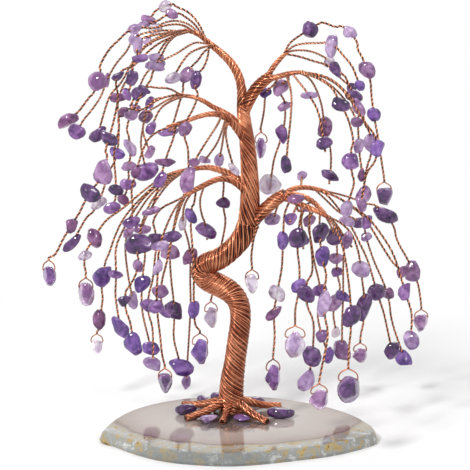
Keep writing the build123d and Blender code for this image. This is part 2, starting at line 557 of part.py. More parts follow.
def clearance(rows, others):
    """The least room between two sets of capsules."""
    reach = rows[:, 6].max() + 2 * STRAND_ROOM
    low = np.minimum(rows[:, 0:3], rows[:, 3:6]).min(axis=0) - reach
    high = np.maximum(rows[:, 0:3], rows[:, 3:6]).max(axis=0) + reach
    others_low = np.minimum(others[:, 0:3], others[:, 3:6]) - others[:, 6:7]
    others_high = np.maximum(others[:, 0:3], others[:, 3:6]) + others[:, 6:7]
    near = ((others_low < high) & (others_high > low)).all(axis=1)
    if not near.any():
        return 2 * STRAND_ROOM
    others = others[near]
    start = rows[:, None, 0:3]
    run = rows[:, None, 3:6] - start
    other_start = others[None, :, 0:3]
    other_run = others[None, :, 3:6] - other_start
    apart = start - other_start
    own = (run * run).sum(axis=2)
    mixed = (run * other_run).sum(axis=2)
    other = (other_run * other_run).sum(axis=2) + 1e-12
    first = (run * apart).sum(axis=2)
    second = (other_run * apart).sum(axis=2)
    denominator = own * other - mixed ** 2 + 1e-12
    share = np.clip((mixed * second - first * other) / denominator, 0.0, 1.0)
    other_share = np.clip((mixed * share + second) / other, 0.0, 1.0)
    share = np.clip((mixed * other_share - first) / (own + 1e-12), 0.0, 1.0)
    gap = apart + share[..., None] * run - other_share[..., None] * other_run
    gaps = np.linalg.norm(gap, axis=2) - rows[:, None, 6] - others[None, :, 6]
    return float(gaps.min())


def limb_capsules():
    """Each limb as capsules, so that strands keep clear of it."""
    rows = {}
    for name, stations in LIMBS.items():
        rows[name] = []
        for first, second in zip(stations, stations[1:]):
            ends = [place(*station[:3]) for station in (first, second)]
            rows[name].append((*ends[0], *ends[1], 0.5 * (first[3] + second[3]) * PIXEL, 0.0))
    return {name: np.array(row) for name, row in rows.items()}


def room_round(strand, limbs, others):
    """The room that a strand has in its present place."""
    rows = strand.capsules()
    beyond = rows[rows[:, 7] >= SEAT_LENGTH]
    room = 2 * STRAND_ROOM
    for limb_rows in limbs.values():
        room = min(room, clearance(beyond, limb_rows))
    if others:
        room = min(room, clearance(rows, np.vstack(others)))
    return room


def settle(strand, limbs, others):
    """Puts a strand at the depth nearest to its own that leaves it enough room."""
    best = None
    steps = int(2 * DEPTH_LIMIT / DEPTH_STEP)
    for attempt in range(steps * 2):
        side = 1 if attempt % 2 else -1
        depth = strand.wanted_depth + side * ceil(attempt / 2) * DEPTH_STEP
        if abs(depth) > DEPTH_LIMIT:
            continue
        for ease_share in EASE_SHARES:
            strand.lay(depth, ease_share)
            room = room_round(strand, limbs, others)
            if best is None or room > best[0]:
                best = (room, depth, ease_share)
            if best[0] >= STRAND_ROOM:
                break
        if best[0] >= STRAND_ROOM:
            break
    strand.room = best[0]
    strand.lay(best[1], best[2])


def lay_out():
    """Every strand at the depth nearest to its own where it touches nothing."""
    limbs = limb_capsules()
    laid = []
    for limb, rows in STRANDS.items():
        for row in rows:
            laid.append(Strand(limb, len(laid) + 1, row))
    taken = {}
    for strand in laid:
        settle(strand, limbs, list(taken.values()))
        taken[strand.order] = strand.capsules()
    for _ in range(PASSES):
        for strand in laid:
            others = [rows for order, rows in taken.items() if order != strand.order]
            if room_round(strand, limbs, others) >= STRAND_ROOM:
                strand.room = STRAND_ROOM
                continue
            settle(strand, limbs, others)
            taken[strand.order] = strand.capsules()
    return laid


def without_straight_corners(points):
    """Drops corners that turn too little to need an arc."""
    kept = [points[0]]
    for corner, after in zip(points[1:], points[2:]):
        first = unit(corner - kept[-1])
        second = unit(after - corner)
        if float(np.dot(first, second)) < cos(radians(LEAST_TURN)):
            kept.append(corner)
    kept.append(points[-1])
    return kept


def rounded_points(points):
    """The route's straight runs and arcs: its ends, and for each corner where the arc is met, its
    middle and where it is left."""
    points = without_straight_corners(points)
    rounded = [points[0]]
    for before, corner, after in zip(points, points[1:], points[2:]):
        first = unit(corner - before)
        second = unit(after - corner)
        half_turn = 0.5 * np.arccos(min(max(float(np.dot(first, second)), -1.0), 1.0))
        shorter = min(np.linalg.norm(corner - before), np.linalg.norm(after - corner))
        trim = min(CORNER_SHARE * shorter, CORNER_TRIM)
        radius = trim / tan(half_turn)
        inward = unit(second - first)
        rounded.append(corner - first * trim)
        rounded.append(corner + inward * radius * (1 / cos(half_turn) - 1))
        rounded.append(corner + second * trim)
    rounded.append(points[-1])
    return rounded


def tube(rounded, radius):
    """A round wire along straight runs joined by arcs."""
    rounded = [tuple(float(value) for value in point) for point in rounded]
    edges = [Edge.make_line(rounded[0], rounded[1])]
    for index in range(1, len(rounded) - 1, 3):
        edges.append(Edge.make_three_point_arc(*rounded[index:index + 3]))
        edges.append(Edge.make_line(rounded[index + 2], rounded[index + 3]))
    run = np.array(rounded[1]) - np.array(rounded[0])
    start = Plane(origin=rounded[0], z_dir=tuple(run))
    return sweep(start * Circle(radius), path=Wire(edges))


def ring_face(plane, half_breadth, half_thickness, seed, sides):
    """One section of a chip: an uneven polygon."""
    corners = []
    for index in range(sides):
        angle = 2 * pi * (index + 0.5) / sides
        size = 1 - CHIP_WOBBLE_SHARE * (0.5 + 0.5 * sin(seed * 2.4 + index * 1.9))
        corners.append((size * half_breadth * cos(angle), size * half_thickness * sin(angle)))
    return plane * make_face(Polyline(*corners, close=True))


def chip_body(kind, centre, axes, half, seed):
    """A tumbled chip, as flat facets round its length."""
    along, across, _ = axes
    sections = []
    for share, girth in zip(CHIP_RING_SHARES, CHIP_GIRTH_SHARES[kind]):
        origin = centre + along * share * 2 * half[0]
        plane = Plane(origin=tuple(origin), x_dir=tuple(across), z_dir=tuple(along))
        sections.append(ring_face(plane, half[1] * girth, half[2] * girth, seed, CHIP_SIDES))
    return loft(sections, ruled=True)


def drilled(body, centre, direction, radius, length):
    """The body with a straight hole."""
    drill = Plane(origin=tuple(centre), z_dir=tuple(direction)) * Cylinder(radius, length)
    return body - drill


def sway(rounded, centre, through, reach, size):
    """How far a strand strays from the straight line through a chip, inside the chip."""
    worst = 0.0
    for start, end in zip(rounded, rounded[1:]):
        for share in SWAY_SHARES:
            offset = start + (end - start) * share - centre
            height = float(np.dot(offset, through))
            if abs(height) < reach and np.linalg.norm(offset) < size:
                worst = max(worst, float(np.linalg.norm(offset - through * height)))
    return worst


def fixed_chip(chip, rounded):
    """A chip on its strand, with room round the strand."""
    kind, centre, axes, half, seed, through = chip
    body = chip_body(kind, centre, axes, half, seed)
    reach = line_reach(through, axes, half)
    radius = STRAND_RADIUS + DRILL_GAP + sway(rounded, centre, through, reach, 2 * half[1])
    return drilled(body, centre, through, radius, 4 * half[0])


def hanging_chip(hanging):
    """A chip that hangs plumb, drilled across near its top."""
    kind, top, hole, _, tall, wide, seed = hanging
    half_thickness = 0.5 * wide * CHIP_THICKNESS_SHARE
    sections = []
    for share, girth in zip(HANG_RING_SHARES, HANG_GIRTH_SHARES):
        origin = top - np.array([0.0, 0.0, share * tall])
        plane = Plane(origin=tuple(origin), x_dir=(1, 0, 0), z_dir=(0, 0, 1))
        sections.append(ring_face(plane, 0.5 * wide * girth, half_thickness * girth, seed, HANG_SIDES))
    body = loft(sections, ruled=True)
    return drilled(body, hole, (1, 0, 0), WIRE_RADIUS + PIN_GAP, 2 * wide)


def loop_width(tall, wide):
    """Room between the legs of a loop for the chip at its hole."""
    share = HANG_HOLE_SHARE / HANG_RING_SHARES[1]
    girth = HANG_GIRTH_SHARES[0] + share * (HANG_GIRTH_SHARES[1] - HANG_GIRTH_SHARES[0])
    return wide * girth + 2 * (LOOP_GAP + WIRE_RADIUS)


def loop_wire(hanging):
    """The open loop: two legs down from the strand's end, and a straight wire through the hole."""
    _, _, hole, apex, tall, wide, _ = hanging
    half = np.array([0.5 * loop_width(tall, wide), 0.0, 0.0])
    shift = np.array([0.5 * STRAND_RADIUS, 0.0, 0.0])
    above = np.array([0.0, 0.0, 0.5 * SPRING_LENGTH])
    corners = [apex - shift + above, apex - shift, hole - half, hole + half, apex + shift, apex + shift + above]
    path = FilletPolyline(*[tuple(corner) for corner in corners], radius=LOOP_CORNER)
    start = Plane(origin=tuple(corners[0]), z_dir=(0, 0, -1))
    return sweep(start * Circle(WIRE_RADIUS), path=path)


def strand_solid(strand):
    wire = tube(rounded_points(strand.route), STRAND_RADIUS)
    if strand.hanging:
        wire = wire + loop_wire(strand.hanging)
    return wire


def slice_section(height, inset):
    """The slice's outline at a height, drawn in from its widest line."""
    half_length = 0.5 * SLICE_LENGTH - inset
    half_width = 0.5 * SLICE_WIDTH - inset
    outline = Spline(*[(x * half_length, y * half_width) for x, y in SLICE_OUTLINE_SHARES], periodic=True)
    return Plane.XY.offset(height) * make_face(outline)


def agate_slice():
    """A flat slice with an uneven outline: its rind leans in from its widest line to the eased edge
    of the polished top."""
    sections = (
        slice_section(0.0, SLICE_UNDERCUT),
        slice_section(SLICE_BELLY, 0.0),
        slice_section(SLICE_THICKNESS - SLICE_EDGE, SLICE_SLOPE),
        slice_section(SLICE_THICKNESS, SLICE_SLOPE + SLICE_EDGE),
    )
    return loft(sections, ruled=True)


def glue_pad():
    base = Plane(origin=(FOOT_X, FOOT_Y, SLICE_THICKNESS))
    return base * Cylinder(GLUE_RADIUS, GLUE_THICKNESS, align=(Align.CENTER, Align.CENTER, Align.MIN))


def root_solid(name, trunk, pad):
    """A twisted root that leaves the foot of the trunk and comes down onto the slice."""
    heading, length, thick, thin = ROOTS[name]
    angle = radians(heading)
    outward = np.array([cos(angle), sin(angle), 0.0])
    sections = []
    for share in (0.0, 0.3, 0.55, 0.78, 1.0):
        radius = (thick + (thin - thick) * share) * PIXEL
        drop = (1 - share) ** 2
        height = SLICE_THICKNESS + radius + SEAT_GAP + drop * (ROOT_RISE * PIXEL * 2 + GLUE_THICKNESS)
        centre = np.array([FOOT_X, FOOT_Y, height]) + outward * length * PIXEL * share
        slope = -2 * (1 - share) * (ROOT_RISE * PIXEL * 2 + GLUE_THICKNESS) / (length * PIXEL)
        along = outward + np.array([0.0, 0.0, slope])
        sections.append(Plane(origin=tuple(centre), z_dir=tuple(along)) * Circle(radius))
    return loft(sections) - trunk - pad


def foot_chip(row, seed):
    """A chip lying on the slice beside the roots."""
    heading, distance, kind, length, breadth, turn = row
    angle = radians(heading)
    spin = radians(turn)
    centre = np.array([
        FOOT_X + distance * PIXEL * cos(angle), FOOT_Y + distance * PIXEL * sin(angle), SLICE_THICKNESS])
    along = np.array([cos(spin), sin(spin), 0.0])
    up = np.array([0.0, 0.0, 1.0])
    axes = (along, np.cross(up, along), up)
    half = (0.5 * length * PIXEL, 0.5 * breadth * PIXEL, 0.5 * breadth * CHIP_THICKNESS_SHARE * PIXEL)
    body = chip_body(kind, centre, axes, half, seed)
    lift = SLICE_THICKNESS + SEAT_GAP - body.bounding_box().min.Z
    return body.translate((0, 0, lift))


def limb_solids(laid):
    """All limbs, each cut back from what it seats on and drilled for the strands that leave it."""
    whole = {name: limb_solid(name) for name in LIMBS}
    done = {}
    for name, body in whole.items():
        for seat in SEATS.get(name, ()):
            body = body - whole[seat]
        done[name] = body
    for strand in laid:
        socket = tube(rounded_points(strand.route)[:SOCKET_POINTS], STRAND_RADIUS + SOCKET_GAP)
        done[strand.limb] = done[strand.limb] - socket
    return done


def largest(shape):
    """The main solid of a cut shape, without crumbs."""
    return max(shape.solids(), key=lambda solid: solid.volume)


def write(node, solids):
    os.makedirs("parts", exist_ok=True)
    shape = solids[0] if len(solids) == 1 else Compound(children=solids)
    export_step(shape, f"parts/{node}.step")


def write_strands(laid):
    """The strands and chips in groups by branch, and each hanging chip alone."""
    number = 0
    for group, limbs in STRAND_GROUPS.items():
        strands = [strand for strand in laid if strand.limb in limbs]
        write(f"{group}_strands", [largest(strand_solid(strand)) for strand in strands])
        chips = []
        for strand in strands:
            rounded = rounded_points(strand.route)
            chips += [largest(fixed_chip(chip, rounded)) for chip in strand.chips]
        write(f"{group}_chips", chips)
        for strand in strands:
            if strand.hanging:
                number += 1
                write(f"hanging_chip_{number}", [largest(hanging_chip(strand.hanging))])
                hole = strand.hanging[2]
                print(f"hanging_chip_{number} hole {hole[0]:.3f} {hole[1]:.3f} {hole[2]:.3f}")


def main():
    laid = lay_out()
    for strand in laid:
        if strand.room < STRAND_ROOM:
            print(f"strand {strand.order} of {strand.limb} has room {strand.room:.2f}")

    write("agate_slice", [largest(agate_slice())])
    pad = glue_pad()
    write("glue_pad", [largest(pad)])

    limbs = limb_solids(laid)
    for name, body in limbs.items():
        if name == "lower_trunk":
            body = body - pad
        write(name, [largest(body)])

    trunk = limb_solid("lower_trunk")
    for name in ROOTS:
        write(name, [largest(root_solid(name, trunk, pad))])
    write("foot_chips", [largest(foot_chip(row, seed)) for seed, row in enumerate(FOOT_CHIPS)])

    write_strands(laid)


main()
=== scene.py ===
"""The looks of a gemstone tree ornament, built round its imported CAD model.

Twisted copper wire, tumbled amethyst chips and a polished agate slice. The places of wire and
chips are the CAD model's own: the same tables of picture points, and the depth that the part's
search found for each strand. They are worked out in millimetres, and each mesh is in metres.
"""
from math import ceil, cos, pi, radians, sin, sqrt

import bmesh
import bpy
import numpy as np
from mathutils import Matrix, Vector


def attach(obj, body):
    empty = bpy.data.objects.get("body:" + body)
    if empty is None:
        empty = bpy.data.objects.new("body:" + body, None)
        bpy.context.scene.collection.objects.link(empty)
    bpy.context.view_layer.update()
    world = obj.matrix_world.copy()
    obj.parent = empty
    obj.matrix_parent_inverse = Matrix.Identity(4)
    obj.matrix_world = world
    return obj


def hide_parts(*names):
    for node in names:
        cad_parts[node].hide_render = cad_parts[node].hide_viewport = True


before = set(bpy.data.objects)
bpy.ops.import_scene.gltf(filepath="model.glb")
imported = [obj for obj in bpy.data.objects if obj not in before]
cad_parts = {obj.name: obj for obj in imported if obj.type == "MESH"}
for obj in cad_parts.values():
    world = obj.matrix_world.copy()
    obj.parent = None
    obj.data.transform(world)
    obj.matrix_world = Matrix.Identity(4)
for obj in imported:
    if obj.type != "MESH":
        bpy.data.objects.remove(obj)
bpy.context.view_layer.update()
METRE = 0.001
X, Y, Z = np.eye(3)

# The picture's scale and its view of the tree
PIXEL = 0.375
VIEW_TILT = 15.0
VIEW_DISTANCE = 1000.0
PICTURE_MIDDLE = (235.0, 235.0)
FOOT_AT = (232.0, 412.0)

# The agate slice, and where the trunk stands on it
SLICE_THICKNESS = 4.5
FOOT_X = -2.5
FOOT_Y = 13.55
GLUE_THICKNESS = 0.8
SEAT_GAP = 0.05
REST_GAP = 0.02

# One strand is two wires twisted together
STRAND_RADIUS = 0.33
WIRE_RADIUS = 0.15
SPRING_LENGTH = 1.4

# Chips and their drilled holes
CHIP_MARGIN = 0.8
CHIP_FULLNESS = 1.1
SHARED_LEAD = 0.42
OWN_LEAD = 0.85
END_SHARE = 0.4
CHIP_THICKNESS_SHARE = 0.68
CHIP_TILT = 24.0
CHIP_RING_SHARES = (-0.5, -0.22, 0.2, 0.5)
CHIP_GIRTH_SHARES = {
    "oval": (0.52, 0.97, 0.95, 0.50),
    "pear": (0.64, 1.00, 0.70, 0.30),
    "wedge": (0.92, 1.00, 0.66, 0.26),
    "block": (0.80, 1.00, 0.96, 0.76),
    "sliver": (0.42, 0.94, 0.86, 0.34),
}

# A hanging chip swings on the wire of its loop
LOOP_GAP = 0.3
LOOP_RISE = 1.7
HANG_HOLE_SHARE = 0.24
HANG_GIRTH_SHARES = (0.30, 0.86)
HANG_RING_SHARE = 0.34

# Trunk, limbs and branches: (across, down, depth, radius), in pixels
LIMBS = {}
LIMBS["lower_trunk"] = (
    (232, 411, 0, 13), (231, 398, 0, 12.6), (232, 382, 0, 12), (235, 362, 0, 10.6), (238, 340, 0, 10.6),
    (241, 320, 0, 10.2), (240, 304, 0, 10.6), (232, 292, 0, 11.2), (219, 285, 0, 11.8), (206, 279, 0, 11.8),
    (201, 270, 0, 12), (208, 263, 0, 11.4), (220, 259, 0, 10.8), (233, 249, 0, 10.2), (243, 237, 0, 10.6),
    (249, 223, 0, 11),
)
LIMBS["upper_trunk"] = (
    (249, 223, 0, 11), (250, 206, 0, 9.8), (250, 186, 0, 9), (249, 162, 0, 8.2), (247, 140, 0, 7.4),
    (244, 120, 0, 6.6), (243, 104, 0, 6.2),
)
LIMBS["left_limb"] = (
    (243, 104, 0, 6.2), (242, 91, 2, 4.7), (240, 79, 5, 4.5), (235, 68, 8, 4.2), (228, 59, 10, 4),
    (220, 52, 10, 3.6), (214, 47, 10, 3.2),
)
LIMBS["crown_left_branch"] = (
    (213.7, 46.7, 10, 3.2), (207, 41, 10, 2.8), (198, 34, 8, 2.4), (187, 30, 6, 2.1), (177, 32, 4, 1.9),
)
LIMBS["right_limb"] = (
    (244, 116, 0, 4), (247, 105, -2, 5.6), (252, 94, -4, 6), (260, 84, -6, 6), (269, 77, -8, 5.4),
)
LIMBS["right_upper_branch"] = (
    (266, 79, -8, 3), (272, 69, -4, 2.8), (278, 61, 2, 2.6), (288, 51, 8, 1.9),
)
LIMBS["right_lower_branch"] = (
    (266, 79, -8, 3.2), (277, 77, -14, 3), (290, 73, -20, 2.6), (303, 72, -26, 1.9),
)
LIMBS["upper_left_branch"] = (
    (243, 130, 2, 3.4), (234, 119, 7, 3.4), (224, 112, 12, 3), (213, 107, 16, 2.6), (204, 101, 20, 2.4),
    (195, 97, 24, 2.2), (186, 96, 27, 2.1), (177, 94, 30, 1.9),
)
LIMBS["middle_left_branch"] = (
    (245, 140, -2, 4.4), (237, 128, -6, 4.4), (229, 119, -10, 4), (219, 114, -15, 3.1), (208, 114, -19, 2.6),
    (197, 117, -23, 2.3), (187, 121, -26, 2.1), (177, 124, -29, 1.9), (167, 127, -32, 1.7),
)
LIMBS["lower_left_branch"] = (
    (249, 190, 0, 4.4), (239, 180, 5, 4.4), (230, 174, 10, 4), (220, 170, 15, 3.4), (209, 167, 19, 2.9),
    (198, 168, 23, 2.5), (187, 170, 26, 2.3), (177, 172, 28, 2.1), (168, 175, 30, 1.9),
)
LIMBS["left_fan_branch"] = (
    (249, 196, -3, 3.6), (238, 184, -9, 3.4), (226, 178, -16, 3.2), (214, 180, -23, 3), (203, 186, -30, 2.8),
    (193, 191, -37, 2.6), (184, 196, -43, 2.3),
)
LIMBS["right_main_branch"] = (
    (247, 229, 0, 5.4), (257, 217, -3, 6.2), (266, 208, -6, 6.6), (275, 200, -9, 6.4), (285, 194, -12, 5.6),
)
LIMBS["right_top_branch"] = (
    (282, 196, -9, 3), (292, 189, 2, 3), (304, 187, 12, 2.7), (316, 189, 20, 2.4), (327, 192, 26, 2),
)
LIMBS["right_middle_branch"] = (
    (282, 196, -12, 3), (294, 194, -8, 3), (306, 197, -6, 2.8), (316, 204, -5, 2.6), (325, 214, -5, 2.2),
)
LIMBS["right_front_branch"] = (
    (282, 197, -15, 3.2), (293, 201, -24, 3.2), (305, 206, -33, 2.9), (317, 211, -41, 2.6),
    (330, 218, -48, 2.1),
)

# Roots: the heading in degrees from +X, then the length and both radii in pixels
ROOTS = {
    "right_back_root": (12, 50, 4.4, 3.2),
    "right_front_root": (-48, 52, 4.6, 3.3),
    "front_root": (-104, 40, 4.0, 3.0),
    "left_front_root": (-148, 54, 4.6, 3.3),
    "left_back_root": (164, 52, 4.4, 3.2),
    "back_root": (84, 42, 4.2, 3.1),
}
ROOT_RISE = 5.0

# Chips glued round the foot: (degrees from +X, distance, kind, length, breadth, turn), in pixels
FOOT_CHIPS = (
    (-20, 52, "block", 27, 15, 2),
    (-70, 29, "pear", 17, 11, -20),
    (-126, 38, "wedge", 20, 13, 35),
    (-172, 47, "block", 22, 15, 20),
    (140, 38, "oval", 18, 12, -60),
    (46, 36, "oval", 18, 11, 30),
    (110, 40, "block", 16, 12, 10),
    (188, 27, "oval", 12, 9, 70),
)

# Strands, by the branch that they leave: the depth at the tip in pixels, the share that sets how early
# it gets there, then what it passes. That is a point (across, down), a chip (kind, across, down, length,
# breadth, turn) or, without the turn, a chip that hangs in the strand's loop.
STRANDS = {}
STRANDS["crown_left_branch"] = (
    (40, 0.8, (206, 39), (199, 23), (188, 11), (176, 7), ("oval", 165, 6, 13, 11, 20), (156, 14),
     ("block", 149, 20, 16, 8, -15)),
    (-30, 0.8, (203, 37), (195, 24), (184, 16), ("oval", 172, 14, 13, 9, -20), (160, 20),
     ("sliver", 144, 25, 14, 8, 10)),
    (72, 0.8, (199, 34), (190, 24), (176, 20), (166, 22), ("block", 156, 29, 14, 10, 20),
     ("oval", 147, 41, 12, 9, -20)),
    (-110, 0.55, (194, 32), (184, 25), (172, 24), (150, 29), ("oval", 134, 29, 15, 10, 30), (120, 39),
     (110, 48), (103, 59), (99, 68), ("oval", 98, 81, 19, 17, 40), (90, 96), (80, 110),
     ("oval", 68, 121, 21, 14, 30)),
    (-98, 0.8, (183, 30), (164, 37), (148, 43), (138, 53), (131, 65), ("block", 132, 78, 14, 12, 80),
     ("sliver", 127, 95, 14, 8, -70)),
    (108, 1.2, (179, 31), (163, 30), (148, 32), ("pear", 135, 38, 15, 11, 60), (127, 51), (116, 63),
     ("sliver", 107, 80, 15, 8, 85), (101, 97), (91, 111), (84, 119), ("oval", 77, 131, 18, 16, -35)),
    (-12, 0.55, (178, 32), (166, 41), ("block", 156, 57, 15, 8, 0)),
    (-64, 0.55, (180, 32), (168, 42), (162, 55), ("pear", 155, 67, 19, 10, -10), (151, 80),
     ("wedge", 144, 90, 13, 9, -30), (137, 103), ("oval", 131, 115, 13, 12, 0)),
    (-104, 0.8, (186, 30), (166, 33), (150, 36), ("oval", 138, 45, 16, 10, 80), ("block", 140, 58, 15, 9, 5)),
    (86, 0.8, (211, 44), (203, 43), (195, 42), (186, 47), (176, 54), ("pear", 158, 63, 20, 11, -12),
     (145, 74), (139, 88), ("oval", 135, 108, 13, 11, -40)),
    (-70, 0.8, (212, 45), (200, 48), (189, 53), (181, 64), ("oval", 173, 78, 16, 11, 20)),
    (22, 0.8, (213, 46), (204, 51), (197, 62), ("oval", 187, 75, 17, 13, 60), (184, 88), (179, 104),
     ("oval", 171, 131, 14, 10, 0)),
    (-52, 1.2, (208, 41), (209, 54), (203, 70), ("oval", 196, 80, 18, 12, 80), (199, 94), (193, 110),
     ("oval", 185, 129, 15, 13, 60), (188, 146), ("pear", 189, 180, 27, 19, 75)),
    (82, 0.55, (191, 31), (168, 34), (146, 45), (132, 62), (121, 84), (110, 94), (105, 109),
     ("wedge", 98, 134, 22, 15, 45)),
    (-112, 0.55, (192, 31), (170, 37), (150, 49), (135, 66), ("wedge", 118, 76, 14, 9, 35), (119, 96),
     (114, 120), ("oval", 109, 138, 19, 12, -40), (105, 152), ("wedge", 103, 171, 24, 21, 90),
     ("oval", 90, 193, 21, 17, -40), (80, 212), ("oval", 71, 226, 15, 13, 60), (62, 241), (55, 256),
     ("oval", 49, 276, 21, 12)),
    (18, 0.55, (189, 30), (168, 33), (150, 41), (137, 56), (130, 74), ("wedge", 119, 97, 18, 11, 0),
     (119, 115), ("oval", 117, 153, 16, 12, -30), (108, 172), ("oval", 98, 203, 18, 13, 30), (87, 216),
     ("sliver", 72, 243, 24, 10, 45)),
)
STRANDS["upper_left_branch"] = (
    (2, 0.55, (179, 94), (169, 88), (156, 88), ("block", 139, 93, 15, 13, 30), (131, 112), (126, 130),
     ("oval", 130, 147, 20, 11, -65), ("oval", 129, 166, 16, 9, 5), ("oval", 128, 184, 16, 11, 0),
     ("oval", 123, 200, 14, 10, -40)),
    (90, 0.55, (178, 94), (166, 97), ("oval", 150, 103, 14, 10, 70), (144, 122), (140, 143),
     ("oval", 146, 171, 26, 18, 20)),
    (114, 0.55, (182, 95), (168, 99), (156, 107), ("block", 146, 117, 15, 13, 50), (143, 134),
     ("block", 150, 152, 14, 10, 60)),
    (-82, 0.8, (186, 96), (172, 100), (160, 108), ("block", 151, 128, 13, 9, 70)),
    (-24, 0.8, (181, 95), (168, 96), (155, 101), (140, 112), ("oval", 123, 112, 12, 10, 40), (120, 128),
     (113, 150), ("oval", 116, 190, 15, 10, -20), ("oval", 112, 208, 17, 12, 10)),
)
STRANDS["middle_left_branch"] = (
    (-14, 0.8, (169, 127), (156, 132), (147, 140), (142, 152), ("oval", 136, 172, 13, 9, 60), (131, 190),
     (133, 209), ("oval", 131, 222, 18, 12, 20)),
    (-60, 0.8, (176, 124), (174, 137), (169, 150), ("oval", 165, 162, 20, 9, -8),
     ("block", 160, 180, 17, 12, 60), (156, 196), ("oval", 151, 211, 18, 10, 20)),
    (20, 0.8, (182, 123), ("block", 167, 132, 19, 9, 5), (154, 139), (146, 148)),
    (-90, 0.8, (222, 115), (218, 124), (211, 135), (203, 147), ("oval", 194, 162, 11, 9, -20)),
    (36, 0.8, (226, 117), (223, 128), (217, 144), ("wedge", 205, 160, 13, 8, -15)),
    (72, 0.8, (228, 118), (224, 131), (222, 146), ("oval", 219, 160, 14, 10, 75)),
    (-50, 0.8, (230, 120), (225, 131), (228, 148), ("oval", 234, 169, 14, 8, -50)),
)
STRANDS["lower_left_branch"] = (
    (-74, 0.8, (173, 173), (160, 179), (147, 188), (134, 199), (121, 210), (107, 219),
     ("oval", 94, 238, 20, 16, -60), ("oval", 85, 256, 14, 11, 30), (86, 272), ("block", 86, 295, 24, 15)),
    (62, 0.55, (175, 173), (160, 181), (147, 192), (134, 205), (122, 220), (114, 238), (109, 254),
     ("wedge", 103, 275, 24, 19, 60), (103, 297), ("oval", 100, 320, 22, 15, -85), ("oval", 97, 346, 16, 13)),
    (-14, 0.55, (177, 172), (160, 183), (146, 195), (134, 210), (124, 228), (115, 247),
     ("oval", 116, 274, 15, 9, -5), (115, 295), ("oval", 120, 327, 25, 16, -60)),
    (96, 0.8, (180, 172), (163, 183), (149, 196), (139, 211), ("oval", 128, 232, 14, 11, 40), (125, 252),
     (128, 276), ("oval", 133, 301, 21, 11, 80)),
    (-102, 0.8, (183, 171), (166, 183), (153, 198), (145, 214), ("oval", 138, 244, 30, 19, -10),
     ("oval", 138, 266, 13, 10, -80), (130, 286), ("wedge", 125, 300, 14, 11, 30), (130, 321),
     ("oval", 134, 345, 25, 19, -75)),
    (66, 0.55, (186, 170), (168, 183), (156, 200), ("oval", 142, 229, 18, 13, 0), (146, 251),
     ("oval", 142, 284, 20, 15, 50), (142, 313), ("oval", 151, 348, 18, 14, -35)),
    (38, 0.8, (222, 171), (224, 186), ("block", 223, 203, 14, 11, -10), (226, 220), (223, 238), (217, 262),
     (214, 290), ("oval", 211, 317, 22, 14)),
)
STRANDS["left_fan_branch"] = (
    (-30, 0.55, (190, 193), (176, 201), (160, 208), (152, 222), ("oval", 156, 238, 15, 13, 0), (155, 256),
     (153, 280), ("oval", 148, 305, 16, 13, 0), (153, 327), ("oval", 153, 364, 20, 14, -25)),
    (-118, 0.55, (188, 194), (176, 206), (168, 222), ("block", 160, 246, 16, 9, 20),
     ("pear", 158, 267, 17, 9, 70), (157, 284), ("oval", 157, 307, 16, 14, 10), (160, 334), (162, 356),
     ("wedge", 165, 384, 21, 14)),
    (-72, 0.8, (186, 195), (179, 210), ("oval", 172, 237, 20, 11, 15), (167, 262),
     ("oval", 161, 291, 17, 14, 0), ("oval", 165, 313, 13, 9, -40)),
    (34, 1.2, (187, 194), (178, 206), (174, 224), ("oval", 170, 252, 21, 15, 0), (171, 280),
     ("wedge", 174, 311, 21, 18, -60), (173, 338), ("oval", 181, 367, 26, 19, -15)),
    (74, 0.8, (192, 192), (184, 204), ("pear", 183, 222, 18, 8, 80), (188, 240),
     ("oval", 190, 257, 20, 15, 60), (190, 284), (191, 304), ("oval", 186, 382, 16, 9, 80)),
    (-52, 0.8, (196, 190), (194, 205), ("oval", 191, 216, 17, 10, -60), (192, 240), (194, 274),
     ("oval", 194, 309, 19, 11, 80), (196, 327), ("oval", 200, 351, 26, 17)),
    (14, 0.8, (204, 186), (199, 201), (202, 217), ("oval", 206, 231, 22, 15, -25), (206, 252)),
)
STRANDS["right_upper_branch"] = (
    (-14, 0.55, (284, 54), (289, 43), (299, 31), ("oval", 310, 29, 18, 15, 80), (323, 22), (337, 28),
     ("oval", 350, 33, 17, 12, -45), (357, 49), ("oval", 367, 70, 19, 16, -50), (371, 91),
     ("oval", 374, 115, 15, 12, -60), (377, 131), (381, 158), ("wedge", 384, 197, 20, 16)),
    (-78, 1.2, (286, 52), (294, 45), (307, 43), (321, 43), ("oval", 332, 45, 24, 14, 80), (342, 54),
     (352, 65), ("sliver", 360, 86, 12, 9, -60)),
    (82, 0.8, (287, 52), (297, 50), (311, 51), ("oval", 329, 61, 14, 11, 70), (338, 76),
     ("oval", 352, 88, 11, 9, 0)),
    (4, 0.8, (285, 54), (298, 56), (313, 61), ("pear", 336, 70, 18, 11, -60), (347, 81),
     ("oval", 354, 96, 18, 13, -10), (360, 110), ("oval", 357, 122, 12, 13, 0)),
)
